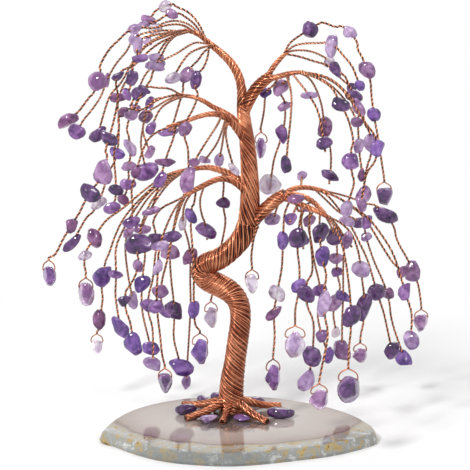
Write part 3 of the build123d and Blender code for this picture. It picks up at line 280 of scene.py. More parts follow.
STRANDS["right_lower_branch"] = (
    (6, 1.2, (301, 72), (318, 74), (334, 80), ("oval", 358, 107, 20, 11, -55), (364, 124),
     ("oval", 371, 143, 20, 15, -60), (367, 165), ("oval", 363, 194, 18, 15, 60)),
    (-86, 0.55, (299, 72), (316, 77), (331, 86), ("block", 341, 104, 17, 13, -10), (350, 124), (354, 142),
     ("oval", 351, 161, 18, 17, 0), (355, 182), ("oval", 346, 209, 17, 13, 75)),
    (70, 0.8, (296, 72), (308, 76), (316, 88), (322, 106), ("oval", 325, 127, 21, 17, 70), (331, 150),
     ("wedge", 330, 176, 20, 12, -20), (326, 190)),
    (-90, 0.8, (292, 73), (299, 82), ("oval", 309, 95, 17, 8, 0), (319, 112), ("oval", 324, 143, 16, 12, 10),
     (327, 162)),
    (34, 0.8, (288, 74), (289, 82), ("oval", 281, 88, 18, 15, 60), ("wedge", 285, 106, 16, 12, 20),
     ("pear", 282, 134, 21, 12, -75), (274, 158), ("oval", 270, 185, 22, 20, 0)),
    (-112, 0.8, (286, 74), (292, 92), (291, 118), (288, 142), ("oval", 286, 165, 18, 10, -80)),
    (52, 1.2, (279, 76), (273, 86), ("oval", 266, 93, 12, 10, 30), (264, 112), (260, 130),
     ("wedge", 261, 148, 22, 13)),
    (-58, 0.55, (303, 72), (320, 75), (338, 84), (352, 102), (366, 124), ("block", 377, 149, 18, 15, 60),
     (366, 172), ("oval", 361, 204, 16, 10, -70)),
    (16, 0.55, (298, 72), (314, 75), (330, 84), (346, 100), (358, 122), ("oval", 359, 146, 18, 10, 80),
     (361, 165), ("pear", 362, 175, 14, 9, 85)),
)
STRANDS["right_top_branch"] = (
    (34, 0.8, (301, 187), ("oval", 302, 176, 11, 9, 40)),
    (78, 0.55, (324, 191), (338, 194), (352, 198), (366, 204), ("oval", 386, 215, 28, 17, -25), (396, 240),
     ("block", 413, 271, 22, 17, 80), (420, 295), ("wedge", 421, 323, 19, 15)),
    (-12, 0.8, (322, 191), (338, 197), (354, 207), (369, 218), (382, 235), (394, 254),
     ("wedge", 405, 291, 18, 17, 60), (412, 313), ("oval", 411, 341, 21, 17, -80)),
    (8, 0.55, (326, 192), (341, 199), (356, 210), ("oval", 367, 222, 15, 13, 60), (380, 243), (392, 262),
     ("block", 403, 272, 14, 11, 40)),
    (12, 0.55, (318, 190), (328, 195), ("oval", 348, 222, 18, 11, -20), (358, 240), (368, 260),
     ("oval", 377, 292, 19, 16, 20), (384, 313), ("oval", 392, 351, 20, 16, 60)),
    (82, 0.8, (314, 189), (326, 200), (340, 214), ("oval", 360, 223, 16, 12, 10),
     ("block", 366, 237, 12, 10, 20), (374, 262), ("oval", 387, 293, 16, 14, -30), (391, 320),
     ("oval", 404, 358, 22, 17, -40)),
)
STRANDS["right_middle_branch"] = (
    (38, 0.8, (318, 206), ("oval", 309, 221, 15, 12, 40), (311, 240), (314, 262),
     ("block", 320, 290, 15, 11, 20), (317, 314), ("oval", 322, 336, 14, 13, 50),
     ("oval", 329, 355, 18, 13, 75)),
    (84, 0.8, (322, 210), ("oval", 335, 236, 19, 17, 60), ("oval", 337, 258, 17, 12, 0),
     ("block", 337, 272, 12, 10, 20), (341, 290), ("oval", 334, 303, 20, 16, 50),
     ("oval", 336, 332, 12, 9, 60)),
    (62, 1.2, (323, 212), (336, 223), (345, 238), (343, 262), ("wedge", 343, 297, 18, 11, -35), (342, 320),
     ("oval", 342, 350, 24, 17, -60)),
    (0, 0.8, (314, 202), ("oval", 305, 208, 12, 9, -30), (301, 224), ("oval", 303, 240, 14, 12, 60),
     (302, 262)),
)
STRANDS["right_front_branch"] = (
    (-18, 0.55, (326, 216), (340, 222), (352, 233), (358, 250), ("block", 361, 270, 19, 15, -10),
     ("oval", 364, 307, 29, 14, 75), (361, 333), ("block", 360, 355, 15, 14)),
    (-116, 0.55, (327, 216), (336, 228), (344, 250), (348, 276), ("oval", 351, 316, 22, 17, 60), (349, 346),
     ("oval", 348, 388, 29, 22)),
    (-32, 0.8, (323, 214), ("oval", 347, 240, 17, 11, 80), (356, 262), (366, 282)),
    (-112, 0.8, (320, 212), ("oval", 320, 233, 21, 18, 60), ("block", 322, 256, 20, 14, 85), (327, 276),
     ("oval", 324, 304, 26, 14, 80), (329, 334), (322, 366), ("block", 319, 399, 20, 18)),
    (-76, 0.8, (310, 208), (309, 228), (312, 252), (313, 274), ("oval", 306, 294, 20, 14, -55), (314, 320),
     ("oval", 312, 356, 22, 17, -70), ("oval", 307, 381, 23, 18, 60)),
    (-50, 0.8, (303, 205), ("oval", 298, 238, 20, 17, 70), (299, 262), ("block", 299, 286, 17, 12, 40),
     (295, 309), ("oval", 295, 344, 27, 23)),
    (-20, 0.8, (290, 200), (284, 214), ("oval", 283, 241, 21, 13, -85), (282, 268),
     ("oval", 277, 294, 20, 14, -60), ("pear", 274, 313, 20, 9, 45), (275, 335), ("oval", 273, 377, 27, 15)),
    (-118, 0.8, (298, 203), ("block", 291, 219, 13, 11, 20), (284, 236), (287, 258), (284, 280)),
    (-88, 0.8, (307, 206), (298, 213), ("oval", 296, 199, 16, 10, 10)),
)
STRANDS["right_main_branch"] = (
    (24, 0.8, (281, 196), ("oval", 273, 219, 17, 15, 10)),
    (-44, 0.8, (262, 212), (254, 236), (251, 256), ("wedge", 252, 284, 19, 14)),
)

# This branch's strands join another group
GROUP_OF = {"right_main_branch": "right_middle"}

# Looks of the wire
TWIST_STEP = 0.22
TWIST_WIRE_RADIUS = 0.24
TWIST_PITCH = 1.9
TWIST_PITCH_SPREAD = 0.2
TWIST_UNEVENNESS = 0.5
# The two wires' tones: painted shade on one, a painted highlight on the other, for the dashes of a twist
TWIST_LIT_AND_SHADED_TONES = (-0.9, 0.75)
TWIST_SIDES = 5
SMOOTHING_ROUNDS = 3
BUNDLE_STEP = 0.6
BUNDLE_WIRE_RADIUS = 0.29
BUNDLE_SIDES = 6
BUNDLE_CROWDING = 1.1
BUNDLE_FILL = 80
# How dark the painted shade is on a bundle wire's sides that face away from the bundle's outside
GROOVE_PAINTED_SHADE = 0.7
CORE_SIDES = 24
CORE_DEPTH_SHARE = 1.1
# The core's tone: painted shade that shows between the bundle's wires
CORE_PAINTED_SHADE = -1.2

# How a bundle's wires waver and stray: how far, how quickly along it, and each wire's own step
WAVER = (0.05, 0.35, 2.1)
FINE_WAVER = (0.03, 0.9, 1.3)
STRAY = (0.3, 0.27, 3.7)
WIRE_TONE_STEP = 2.7

# A hanging loop: its tone, its tail in the strand's end, and its leg's shares of the way up and out
LOOP_TONE = 0.0
LOOP_TAIL = 0.6
LOOP_LEG_SHARES = ((0.72, 0.85), (0.3, 1.08), (0.0, 1.0), (0.0, 0.7))

# How steeply each bundle's wires wind, in degrees from its line, station by station
LAY_ANGLES = {
    "lower_trunk": (-66, -64, -60, -58, -56, -56, -60, -66, -72, -76, -76, -70, -60, -46, -36, -30),
    "upper_trunk": (-30, -26, -24, -28, -40, -50, -54),
}
LIMB_LAY_ANGLE = 48
ROOT_LAY_ANGLE = 38
ROOT_STATION_SHARES = (0.0, 0.2, 0.4, 0.55, 0.7, 0.85, 1.0)

# Stones: the ball that they start from, how they swell, bend and ripple, and their worn faces
BALL_DETAIL = 3
STONE_FULLNESS = 0.48
STONE_GROWTH = 1.04
LEAST_GIRTH = 0.2
WOBBLES = (0.10, 0.07)
BEND = 0.16
BUMPS = ((0.02, 3.1), (0.012, 6.3))
FLAT_COUNT = 8
FLAT_DEPTH_SHARES = (0.70, 0.92)
FLAT_WEAR = 0.9
FIXED_TONE_STEP = 0.37
HANGING_TONE_STEP = 0.61
FOOT_TONE_STEP = 0.13

# Each shade, by its letter: its name, its dark and light colour, and how much light passes through
SHADES = {
    "w": ("pale", (0.46, 0.33, 0.52), (0.84, 0.76, 0.87), 0.55),
    "l": ("lilac", (0.27, 0.14, 0.36), (0.56, 0.40, 0.64), 0.40),
    "m": ("mauve", (0.20, 0.070, 0.23), (0.44, 0.24, 0.47), 0.34),
    "v": ("violet", (0.10, 0.024, 0.175), (0.30, 0.13, 0.40), 0.32),
    "p": ("plum", (0.10, 0.020, 0.10), (0.28, 0.10, 0.27), 0.28),
    "d": ("deep", (0.026, 0.006, 0.055), (0.13, 0.042, 0.19), 0.22),
    "i": ("indigo", (0.065, 0.018, 0.19), (0.23, 0.10, 0.42), 0.30),
}

# The shade of every chip, in the strands' order
CHIP_SHADES = {
    "crown_left": "wmmlwllmpdvlmvlldmlvlmwmvvmmdddmdppiwd",
    "upper_left": "dlmvpvvpmvpdv",
    "middle_left": "pvpvmvpllw",
    "lower_left": "pwipvimldmdimiid",
    "left_fan": "dvlllvdmvmdiwpliiv",
    "right_upper": "dlmiliwdddm",
    "right_lower": "mlmdvlpdldmmvwdiimlp",
    "right_top": "ldmvlvpldddlpi",
    "right_middle": "mvvidmvmwimvdl",
    "right_front": "lddmdilddldiiwpvp",
}
HANGING_SHADES = "vmwwdidvmwmdmlv"
FOOT_SHADES = "dvlddpdd"

# The slice, in millimetres: its polished middle, and the painted reflection and shade of the trunk's foot, a
# dark patch in front of the roots
POLISH_MIDDLE = (0.0, 6.0)
POLISH_REACH = (45.5, 29.0)
ROOT_SHADE_MIDDLE = (FOOT_X + 0.5, FOOT_Y - 7.0)
ROOT_SHADE_REACH = (17.0, 17.0)
ROOT_SHADE_RAGGEDNESS = 1.1
ROOT_SHADE_COLOUR = (0.085, 0.062, 0.056, 1.0)

# Across the slice, from its middle outward: milky grey, a brown band, then the grey rind
AGATE_BANDS = (
    (0.0, (0.40, 0.335, 0.305)), (0.35, (0.50, 0.44, 0.405)), (0.55, (0.44, 0.365, 0.325)),
    (0.645, (0.33, 0.245, 0.205)), (0.662, (0.18, 0.11, 0.07)), (0.68, (0.34, 0.29, 0.23)),
    (0.72, (0.38, 0.38, 0.35)), (0.80, (0.30, 0.31, 0.30)), (0.87, (0.19, 0.205, 0.20)),
)

# The rind's ochre, dark and white specks: where each starts and is full, and its colour
SPECKS = (
    (0.50, 0.57, (0.46, 0.32, 0.09, 1.0)),
    (0.59, 0.64, (0.10, 0.06, 0.02, 1.0)),
    (0.44, 0.36, (0.66, 0.66, 0.62, 1.0)),
)

# The studio, in metres. Each lamp has its name, place, size and power
CAMERA_SENSOR = 36.0
CAMERA_CLIP = (0.01, 20.0)
PICTURE_SIDE = 470.0
FLOOR_REACH = 3.0
SHADOW_REACH = (0.10, 0.20)
FLOOR_COLOUR = (0.85, 0.85, 0.85, 1.0)
WHITE = (1.0, 1.0, 1.0, 1.0)
WORLD_STRENGTH = 0.45
LAMP_AIM = (0.0, 0.0, 0.08)
LAMPS = (
    ("key", (-0.45, -0.6, 0.75), 0.2, 8.0),
    ("fill", (0.75, -0.55, 0.9), 0.3, 3.0),
    ("back", (0.1, 0.7, 0.7), 0.4, 3.0),
)

# The picture's right, up and forward directions, and the trunk's foot
TILT = radians(VIEW_TILT)
RIGHT = X
UP = np.array([0.0, sin(TILT), cos(TILT)])
FORWARD = np.array([0.0, cos(TILT), -sin(TILT)])
FOOT = np.array([FOOT_X, FOOT_Y, SLICE_THICKNESS])


def from_middle(across, down):
    """How far right and up a picture point is from the picture's middle."""
    return (across - PICTURE_MIDDLE[0]) * PIXEL * RIGHT + (PICTURE_MIDDLE[1] - down) * PIXEL * UP


# The eye that sees the foot at its picture point
EYE = FOOT - VIEW_DISTANCE * FORWARD - from_middle(*FOOT_AT)


def place(across, down, depth):
    """The real point that a picture point shows, at a depth in pixels behind the trunk's foot."""
    ray = VIEW_DISTANCE * FORWARD + from_middle(across, down)
    reach = (FOOT_Y + depth * PIXEL - EYE[1]) / ray[1]
    return EYE + reach * ray


def gap_between(point, other):
    """How far two points are apart."""
    return float(np.linalg.norm(point - other))


def unit(vector):
    """The direction of a vector."""
    return vector / np.linalg.norm(vector)


def across_line(first, second, angle):
    """The direction, or row of directions, at an angle round a line."""
    return first * np.cos(angle)[:, None] + second * np.sin(angle)[:, None]


def nearest_on_limb(name, across, down):
    """Depth and radius of a limb where it passes a picture point, in pixels."""
    best = None
    stations = LIMBS[name]
    for first, second in zip(stations, stations[1:]):
        run = (second[0] - first[0], second[1] - first[1])
        share = ((across - first[0]) * run[0] + (down - first[1]) * run[1]) / (run[0] ** 2 + run[1] ** 2)
        share = min(max(share, 0.0), 1.0)
        gap = sqrt((first[0] + share * run[0] - across) ** 2 + (first[1] + share * run[1] - down) ** 2)
        if best is None or gap < best[0]:
            best = (gap, *(first[side] + share * (second[side] - first[side]) for side in (2, 3)))
    return best[1:]


def chip_frame(turn, seed):
    """A chip's own directions: along its length, across its breadth, through its thickness."""
    angle = radians(turn)
    along = cos(angle) * RIGHT + sin(angle) * Z
    lean = radians(CHIP_TILT) * sin(seed * 1.7)
    through = cos(lean) * Y + sin(lean) * np.cross(along, Y)
    return along, np.cross(through, along), through


def half_sizes(length, breadth):
    """Half a chip's length, breadth and thickness, from its picture sizes."""
    return 0.5 * length * PIXEL, 0.5 * breadth * PIXEL, 0.5 * breadth * CHIP_THICKNESS_SHARE * PIXEL


def is_chip(item):
    """Whether a strand's item is a chip."""
    return isinstance(item[0], str)


class Strand:
    """One strand: its route, its fixed chips and, if it ends in a loop, its hanging chip."""

    def __init__(self, limb, order, row):
        """Works out every real point, from the strand's depth and how it eases to it."""
        self.group = GROUP_OF.get(limb, limb.removesuffix("_branch"))
        self.order = order
        tip_depth, ease_share, *self.items = row
        marks = [item[1:3] if is_chip(item) else item for item in self.items]
        lengths = [0.0]
        for first, second in zip(marks, marks[1:]):
            lengths.append(lengths[-1] + sqrt((second[0] - first[0]) ** 2 + (second[1] - first[1]) ** 2))
        start_depth, start_radius = nearest_on_limb(limb, *marks[0])
        ease = [sin(0.5 * pi * (length / lengths[-1]) ** ease_share) for length in lengths]
        depths = [start_depth + (tip_depth - start_depth) * part for part in ease]
        points = [place(*mark, depth) for mark, depth in zip(marks, depths)]
        self.route = [points[0] + unit(points[1] - points[0]) * (0.5 * start_radius * PIXEL)]
        self.chips = []
        self.hanging = None
        self.loose = 0
        points[0] = self.route[0]
        for index, item in enumerate(self.items[1:], 1):
            if not is_chip(item):
                self.route.append(points[index])
                self.loose += 1
                continue
            kind, _, _, length, breadth, *turn = item
            if turn:
                self.thread(kind, half_sizes(length, breadth), *turn, points, index)
            else:
                self.hang(kind, length * PIXEL, breadth * PIXEL, points[index], index)

    def thread(self, kind, half, turn, points, index):
        """Leads the strand straight through a chip."""
        seed = self.order * 3 + index
        centre = points[index]
        room = half[0] + CHIP_MARGIN
        while len(self.route) > 1 and self.loose and gap_between(centre, self.route[-1]) < room:
            self.route.pop()
            self.loose -= 1
        is_last = index + 1 == len(points)
        after = centre + (centre - self.route[-1]) if is_last else points[index + 1]
        through = unit(after - self.route[-1])
        axes = chip_frame(turn, seed)
        squares = sum((float(np.dot(through, axis)) / size) ** 2 for axis, size in zip(axes, half))
        reach = CHIP_FULLNESS / sqrt(squares) + CHIP_MARGIN
        share = SHARED_LEAD if self.chips and not self.loose else OWN_LEAD
        before = min(reach, share * gap_between(centre, self.route[-1]))
        share = SHARED_LEAD if not is_last and is_chip(self.items[index + 1]) else OWN_LEAD
        beyond = END_SHARE * half[1] if is_last else min(reach, share * gap_between(after, centre))
        self.route += [centre - through * before, centre + through * beyond]
        self.chips.append((kind, centre, axes, half, seed))
        self.loose = 0

    def hang(self, kind, tall, wide, centre, index):
        """Ends the strand in a loop above a chip that hangs plumb."""
        top = centre + 0.5 * tall * Z
        hole = top - HANG_HOLE_SHARE * tall * Z
        apex = top + LOOP_RISE * Z
        self.route += [apex + SPRING_LENGTH * Z, apex]
        self.hanging = (kind, top, hole, apex, tall, wide, index)


def smooth_route(points):
    """Cuts the corners of a route again and again, until it is a smooth line."""
    points = np.array(points, float)
    for _ in range(SMOOTHING_ROUNDS):
        middle = np.empty((2 * len(points) - 2, points.shape[1]))
        middle[0::2] = 0.75 * points[:-1] + 0.25 * points[1:]
        middle[1::2] = 0.25 * points[:-1] + 0.75 * points[1:]
        points = np.vstack((points[:1], middle, points[-1:]))
    return points


def resample(points, step):
    """Evenly spaced rows along a line of rows whose first three columns are places."""
    lengths = np.linalg.norm(np.diff(points[:, :3], axis=0), axis=1)
    passed = np.concatenate(([0.0], np.cumsum(lengths)))
    count = max(int(ceil(passed[-1] / step)), 2)
    at = np.linspace(0.0, passed[-1], count + 1)
    columns = [np.interp(at, passed, points[:, column]) for column in range(points.shape[1])]
    return np.stack(columns, axis=1), at


def carried_frames(points):
    """Two directions across a line that turn with it and don't spin."""
    along = np.gradient(points, axis=0)
    along /= np.linalg.norm(along, axis=1)[:, None] + 1e-12
    first = np.zeros_like(points)
    side = unit(np.cross(along[0], np.array([0.3, 0.8, 0.5])))
    for index, direction in enumerate(along):
        side = unit(side - direction * np.dot(side, direction))
        first[index] = side
    return first, np.cross(along, first)


def add_object(name, data):
    """A new object in the scene."""
    piece = bpy.data.objects.new(name, data)
    bpy.context.scene.collection.objects.link(piece)
    return piece


class MeshParts:
    """Collects tubes and closed shapes, and makes one object of them."""

    def __init__(self):
        self.vertices = []
        self.quads = [np.zeros((0, 4), int)]
        self.caps = []
        self.tones = []
        self.count = 0

    def tube(self, points, radius, sides, tone, outward=None):
        """A round tube with flat ends. Where it has an outward side, its other sides are darker with painted
        shade, as if in the grooves between wound wires.
        """
        first, second = carried_frames(points)
        radius = np.broadcast_to(np.asarray(radius, float), (len(points),))
        angles = 2 * pi * np.arange(sides) / sides
        ring = first[:, None, :] * np.cos(angles)[None, :, None]
        ring = ring + second[:, None, :] * np.sin(angles)[None, :, None]
        base = self.count
        self.vertices.append((points[:, None, :] + ring * radius[:, None, None]).reshape(-1, 3))
        steps = np.arange(len(points) - 1)[:, None] * sides
        here = np.arange(sides)[None, :]
        after = (here + 1) % sides
        quads = (steps + here, steps + after, steps + sides + after, steps + sides + here)
        self.quads.append(base + np.stack(quads, axis=2).reshape(-1, 4))
        self.count += len(points) * sides
        self.caps += [range(base + sides - 1, base - 1, -1), range(self.count - sides, self.count)]
        tones = np.full((len(points), sides), float(tone))
        if outward is not None:
            # Painted shade on the sides that face away from the outside, where the grooves between wires are
            tones += GROOVE_PAINTED_SHADE * (np.einsum("nsk,nk->ns", ring, outward) - 1)
        self.tones.append(tones.ravel())

    def shape(self, vertices, faces, tone):
        """A closed shape given as it is."""
        self.vertices.append(vertices)
        self.caps += [[self.count + corner for corner in face] for face in faces]
        self.count += len(vertices)
        self.tones.append(np.full(len(vertices), tone))

    def build(self, name, material):
        """The object, in metres."""
        quads = np.vstack(self.quads)
        loops = np.concatenate([quads.ravel()] + [np.array(cap) for cap in self.caps]).astype(np.int32)
        sizes = np.concatenate((np.full(len(quads), 4), [len(cap) for cap in self.caps])).astype(np.int32)
        mesh = bpy.data.meshes.new(name)
        mesh.vertices.add(self.count)
        mesh.vertices.foreach_set("co", (np.vstack(self.vertices) * METRE).ravel())
        mesh.loops.add(len(loops))
        mesh.loops.foreach_set("vertex_index", loops)
        mesh.polygons.add(len(sizes))
        mesh.polygons.foreach_set("loop_start", (np.cumsum(sizes) - sizes).astype(np.int32))
        mesh.polygons.foreach_set("loop_total", sizes)
        mesh.update(calc_edges=True)
        mesh.validate()
        mesh.polygons.foreach_set("use_smooth", np.ones(len(mesh.polygons), bool))
        tone = mesh.attributes.new("tone", "FLOAT", "POINT")
        tone.data.foreach_set("value", np.concatenate(self.tones).astype(np.float32))
        mesh.materials.append(material)
        return add_object(name, mesh)


def twisted_pair(parts, points, seed):
    """Two wires twisted round each other along a smooth line, one lit and one shaded by painted light."""
    line, at = resample(points, TWIST_STEP)
    first, second = carried_frames(line)
    pitch = TWIST_PITCH + TWIST_PITCH_SPREAD * sin(seed * 2.3)
    turn = 2 * pi * at / pitch + seed + TWIST_UNEVENNESS * np.sin(at * 0.23 + seed)
    # One wire gets painted shade, the other a painted highlight
    for wire, tone in enumerate(TWIST_LIT_AND_SHADED_TONES):
        offset = across_line(first, second, turn + pi * wire)
        parts.tube(line + offset * TWIST_WIRE_RADIUS, TWIST_WIRE_RADIUS, TWIST_SIDES, tone)


def hanging_loop(parts, hanging):
    """The open loop of a hanging chip, from the end of its strand."""
    _, _, hole, apex, _, wide, _ = hanging
    share = HANG_HOLE_SHARE / HANG_RING_SHARE
    girth = HANG_GIRTH_SHARES[0] + share * (HANG_GIRTH_SHARES[1] - HANG_GIRTH_SHARES[0])
    half = 0.5 * (wide * girth + 2 * (LOOP_GAP + WIRE_RADIUS)) * X
    top = apex + 0.5 * STRAND_RADIUS * X
    leg = [top + LOOP_TAIL * Z, top]
    leg += [hole + (apex - hole) * up + half * out for up, out in LOOP_LEG_SHARES]
    corners = [(corner - hole) * (1 - 2 * X) + hole for corner in leg] + [hole] + leg[::-1]
    line, _ = resample(smooth_route(corners), TWIST_STEP)
    parts.tube(line, TWIST_WIRE_RADIUS, TWIST_SIDES + 1, LOOP_TONE)


def strand_group(name, strands, material):
    """All strands of one group as one piece. A strand's bare end below its last chip is left out."""
    parts = MeshParts()
    for strand in strands:
        bare_end = strand.loose if strand.chips and not strand.hanging else 0
        twisted_pair(parts, smooth_route(strand.route[:len(strand.route) - bare_end]), float(strand.order))
        if strand.hanging:
            hanging_loop(parts, strand.hanging)
    return parts.build(f"{name}_twists", material)


def bundle(name, centres, radii, angles, seed, material):
    """A bundle of copper wires wound round each other, over a core darkened with painted shade."""
    rows, at = resample(smooth_route(np.column_stack((centres, radii, angles))), BUNDLE_STEP)
    line, radius, angle = rows[:, :3], rows[:, 3], np.radians(rows[:, 4])
    first, second = carried_frames(line)
    winding = np.tan(angle) / radius
    turn = np.concatenate(([0.0], np.cumsum(0.5 * (winding[1:] + winding[:-1]) * np.diff(at))))
    around = 2 * pi * float(np.percentile(radius * np.cos(angle), BUNDLE_FILL))
    count = int(around / (2 * BUNDLE_WIRE_RADIUS * BUNDLE_CROWDING))
    parts = MeshParts()
    # The core is painted shade that shows through the gaps between the wires
    parts.tube(line, radius - CORE_DEPTH_SHARE * BUNDLE_WIRE_RADIUS, CORE_SIDES, CORE_PAINTED_SHADE)
    for wire in range(count):
        waver = WAVER[0] * np.sin(at * WAVER[1] + wire * WAVER[2] + seed)
        waver += FINE_WAVER[0] * np.sin(at * FINE_WAVER[1] + wire * FINE_WAVER[2])
        lift = BUNDLE_WIRE_RADIUS * (STRAY[0] * np.sin(at * STRAY[1] + wire * STRAY[2] + seed) - 1.0)
        offset = across_line(first, second, 2 * pi * wire / count + turn + waver)
        tone = 0.5 + 0.5 * sin(wire * WIRE_TONE_STEP + seed)
        # Each wire has its own random tone, and painted shade on its sides away from the outside
        parts.tube(line + offset * (radius + lift)[:, None], BUNDLE_WIRE_RADIUS, BUNDLE_SIDES, tone, offset)
    return parts.build(f"{name}_wires", material)


def limb_bundle(name, seed, material):
    """The bundle of one limb of the tree."""
    stations = LIMBS[name]
    centres = [place(*station[:3]) for station in stations]
    radii = [station[3] * PIXEL for station in stations]
    angles = LAY_ANGLES.get(name, (LIMB_LAY_ANGLE,) * len(stations))
    return bundle(name, centres, radii, angles, seed, material)


def root_bundle(name, seed, material):
    """The bundle of one root, along the CAD root's own line."""
    heading, length, thick, thin = ROOTS[name]
    outward = np.array([cos(radians(heading)), sin(radians(heading)), 0.0])
    centres = []
    radii = []
    for share in ROOT_STATION_SHARES:
        radius = (thick + (thin - thick) * share) * PIXEL
        drop = (1 - share) ** 2
        height = radius + SEAT_GAP + drop * (ROOT_RISE * PIXEL * 2 + GLUE_THICKNESS)
        centres.append(FOOT + height * Z + outward * length * PIXEL * share)
        radii.append(radius)
    return bundle(name, centres, radii, (ROOT_LAY_ANGLE,) * len(radii), seed, material)


def unit_ball():
    """A ball of triangles: its points and faces."""
    ball = bmesh.new()
    bmesh.ops.create_icosphere(ball, subdivisions=BALL_DETAIL, radius=1.0)
    vertices = np.array([vertex.co[:] for vertex in ball.verts])
    faces = [[vertex.index for vertex in face.verts] for face in ball.faces]
    ball.free()
    return vertices, faces


BALL_VERTICES, BALL_FACES = unit_ball()


def stone_points(kind, half, seed):
    """A tumbled stone about its own middle: swollen by its kind's girths, then worn flat in places."""
    generator = np.random.default_rng(int(seed * 7 + 13))
    x, y, z = BALL_VERTICES.T
    around = np.arctan2(z, y)
    girth = np.interp(x, np.array(CHIP_RING_SHARES) * 2, CHIP_GIRTH_SHARES[kind])
    girth = LEAST_GIRTH + (1 - LEAST_GIRTH) * girth
    wobble = 1 + WOBBLES[0] * np.sin(2 * around + seed)
    wobble = wobble + WOBBLES[1] * np.sin(3 * around + 2.1 * seed + 1.7 * x)
    full = np.sqrt(np.maximum(1 - x ** 2, 0.0)) ** STONE_FULLNESS * girth * wobble
    bend = BEND * sin(seed * 1.9) * (x ** 2 - 0.4)
    points = np.stack((x, full * np.cos(around) + bend, full * np.sin(around)), axis=1)
    for _ in range(FLAT_COUNT):
        normal = unit(generator.normal(size=3))
        reach = points @ normal
        limit = reach.max() * generator.uniform(*FLAT_DEPTH_SHARES)
        points = points - normal * (np.maximum(reach - limit, 0.0) * FLAT_WEAR)[:, None]
    bumps = 0.0
    for turn, (size, pitch) in enumerate(BUMPS, 1):
        bumps += size * np.sin(points @ generator.normal(size=3) * pitch + turn * seed)
    return points * (1 + bumps)[:, None] * np.array(half) * STONE_GROWTH


class Nodes:
    """A short way to write the nodes of a material or of the world."""

    def __init__(self, owner):
        owner.use_nodes = True
        self.owner = owner
        self.tree = owner.node_tree

    def put(self, value, socket):
        """Sets an input to a value, or links it to an output."""
        if isinstance(value, bpy.types.NodeSocket):
            self.tree.links.new(value, socket)
        else:
            socket.default_value = value

    def add(self, kind, *inputs, output=None, **settings):
        """A new node's output. A setting with a capital is an input, the others are the node's own."""
        node = self.tree.nodes.new("ShaderNode" + kind)
        for key, value in settings.items():
            if key[0].islower():
                setattr(node, key, value)
        for socket, value in zip(node.inputs, inputs):
            self.put(value, socket)
        for key, value in settings.items():
            if key[0].isupper():
                self.put(value, node.inputs[key.replace("_", " ")])
        return node.outputs[output] if output else next(socket for socket in node.outputs if socket.enabled)

    def ramp(self, source, stops):
        """Colours along a value."""
        node = self.tree.nodes.new("ShaderNodeValToRGB")
        elements = node.color_ramp.elements
        while len(elements) < len(stops):
            elements.new(0.5)
        for element, (position, colour) in zip(elements, stops):
            element.position = position
            element.color = (*colour, 1.0)
        self.put(source, node.inputs["Fac"])
        return node.outputs["Color"]

    def finish(self, **inputs):
        """Sets the material's own shader, and gives the material."""
        for key, value in inputs.items():
            self.put(value, self.tree.nodes["Principled BSDF"].inputs[key.replace("_", " ")])
        return self.owner


def new_material(name):
    """A material's nodes, and the object's own coordinates."""
    nodes = Nodes(bpy.data.materials.new(name))
    return nodes, nodes.add("TexCoord", output="Object")


def copper_material():
    """Bare copper wire: warm and browner where it has tarnished. Its tone attribute also carries painted
    light: bright on its crests, and painted shade in its grooves, in the bundles' cores and on one wire of
    each twisted pair.
    """
    nodes, coordinates = new_material("copper_wire")
    tarnish = nodes.add("TexNoise", coordinates, Scale=160.0, Detail=4.0, Roughness=0.6)
    # The tone holds random tones, and also painted highlight and painted shade
    tone = nodes.add("Attribute", attribute_name="tone", output="Fac")
    brightness = nodes.add("Math", tone, 0.35, tarnish, operation="MULTIPLY_ADD")
    colour = nodes.ramp(brightness, (
        (0.16, (0.040, 0.013, 0.008)), (0.38, (0.20, 0.050, 0.023)),
        (0.58, (0.46, 0.140, 0.068)), (0.82, (0.80, 0.35, 0.19)),
    ))
    roughness = nodes.add("MapRange", tarnish, To_Min=0.16, To_Max=0.34)
    return nodes.finish(Base_Color=colour, Roughness=roughness, Metallic=0.8)


def amethyst_material(name, dark, light, clear):
    """Tumbled amethyst of one shade: zones of colour, cloudy veils and a polished skin."""
    nodes, coordinates = new_material(f"amethyst_{name}")
    zones = nodes.add("TexNoise", coordinates, noise_dimensions="4D", Scale=240.0, Detail=3.0, Roughness=0.55,
                      Distortion=0.8, W=nodes.add("Attribute", attribute_name="tone", output="Fac"))
    veils = nodes.add("TexNoise", coordinates, Scale=520.0, Detail=5.0, Roughness=0.65)
    blend = nodes.add("Mix", data_type="FLOAT", Factor=0.25, A=zones, B=veils)
    middle = tuple(0.5 * (a + b) for a, b in zip(dark, light))
    pale = tuple(min(value * 1.25 + 0.08, 0.95) for value in light)
    return nodes.finish(
        Base_Color=nodes.ramp(blend, ((0.41, dark), (0.48, middle), (0.55, light), (0.63, pale))),
        Roughness=0.09, IOR=1.54, Transmission_Weight=clear, Subsurface_Weight=0.15,
        Subsurface_Radius=(1.0, 0.6, 1.2), Subsurface_Scale=0.002, Coat_Weight=0.2, Coat_Roughness=0.05,
        Normal=nodes.add("Bump", Height=veils, Strength=0.12, Distance=0.0002),
    )


def far_out(nodes, coordinates, middle, reach):
    """How far out a point of the slice is from a middle: 1 at the reach across and front to back."""
    centre = (middle[0] * METRE, middle[1] * METRE, 0.0)
    shares = (1 / (reach[0] * METRE), 1 / (reach[1] * METRE), 0.0)
    moved = nodes.add("VectorMath", coordinates, centre, operation="SUBTRACT")
    scaled = nodes.add("VectorMath", moved, shares, operation="MULTIPLY")
    return nodes.add("VectorMath", scaled, operation="LENGTH")


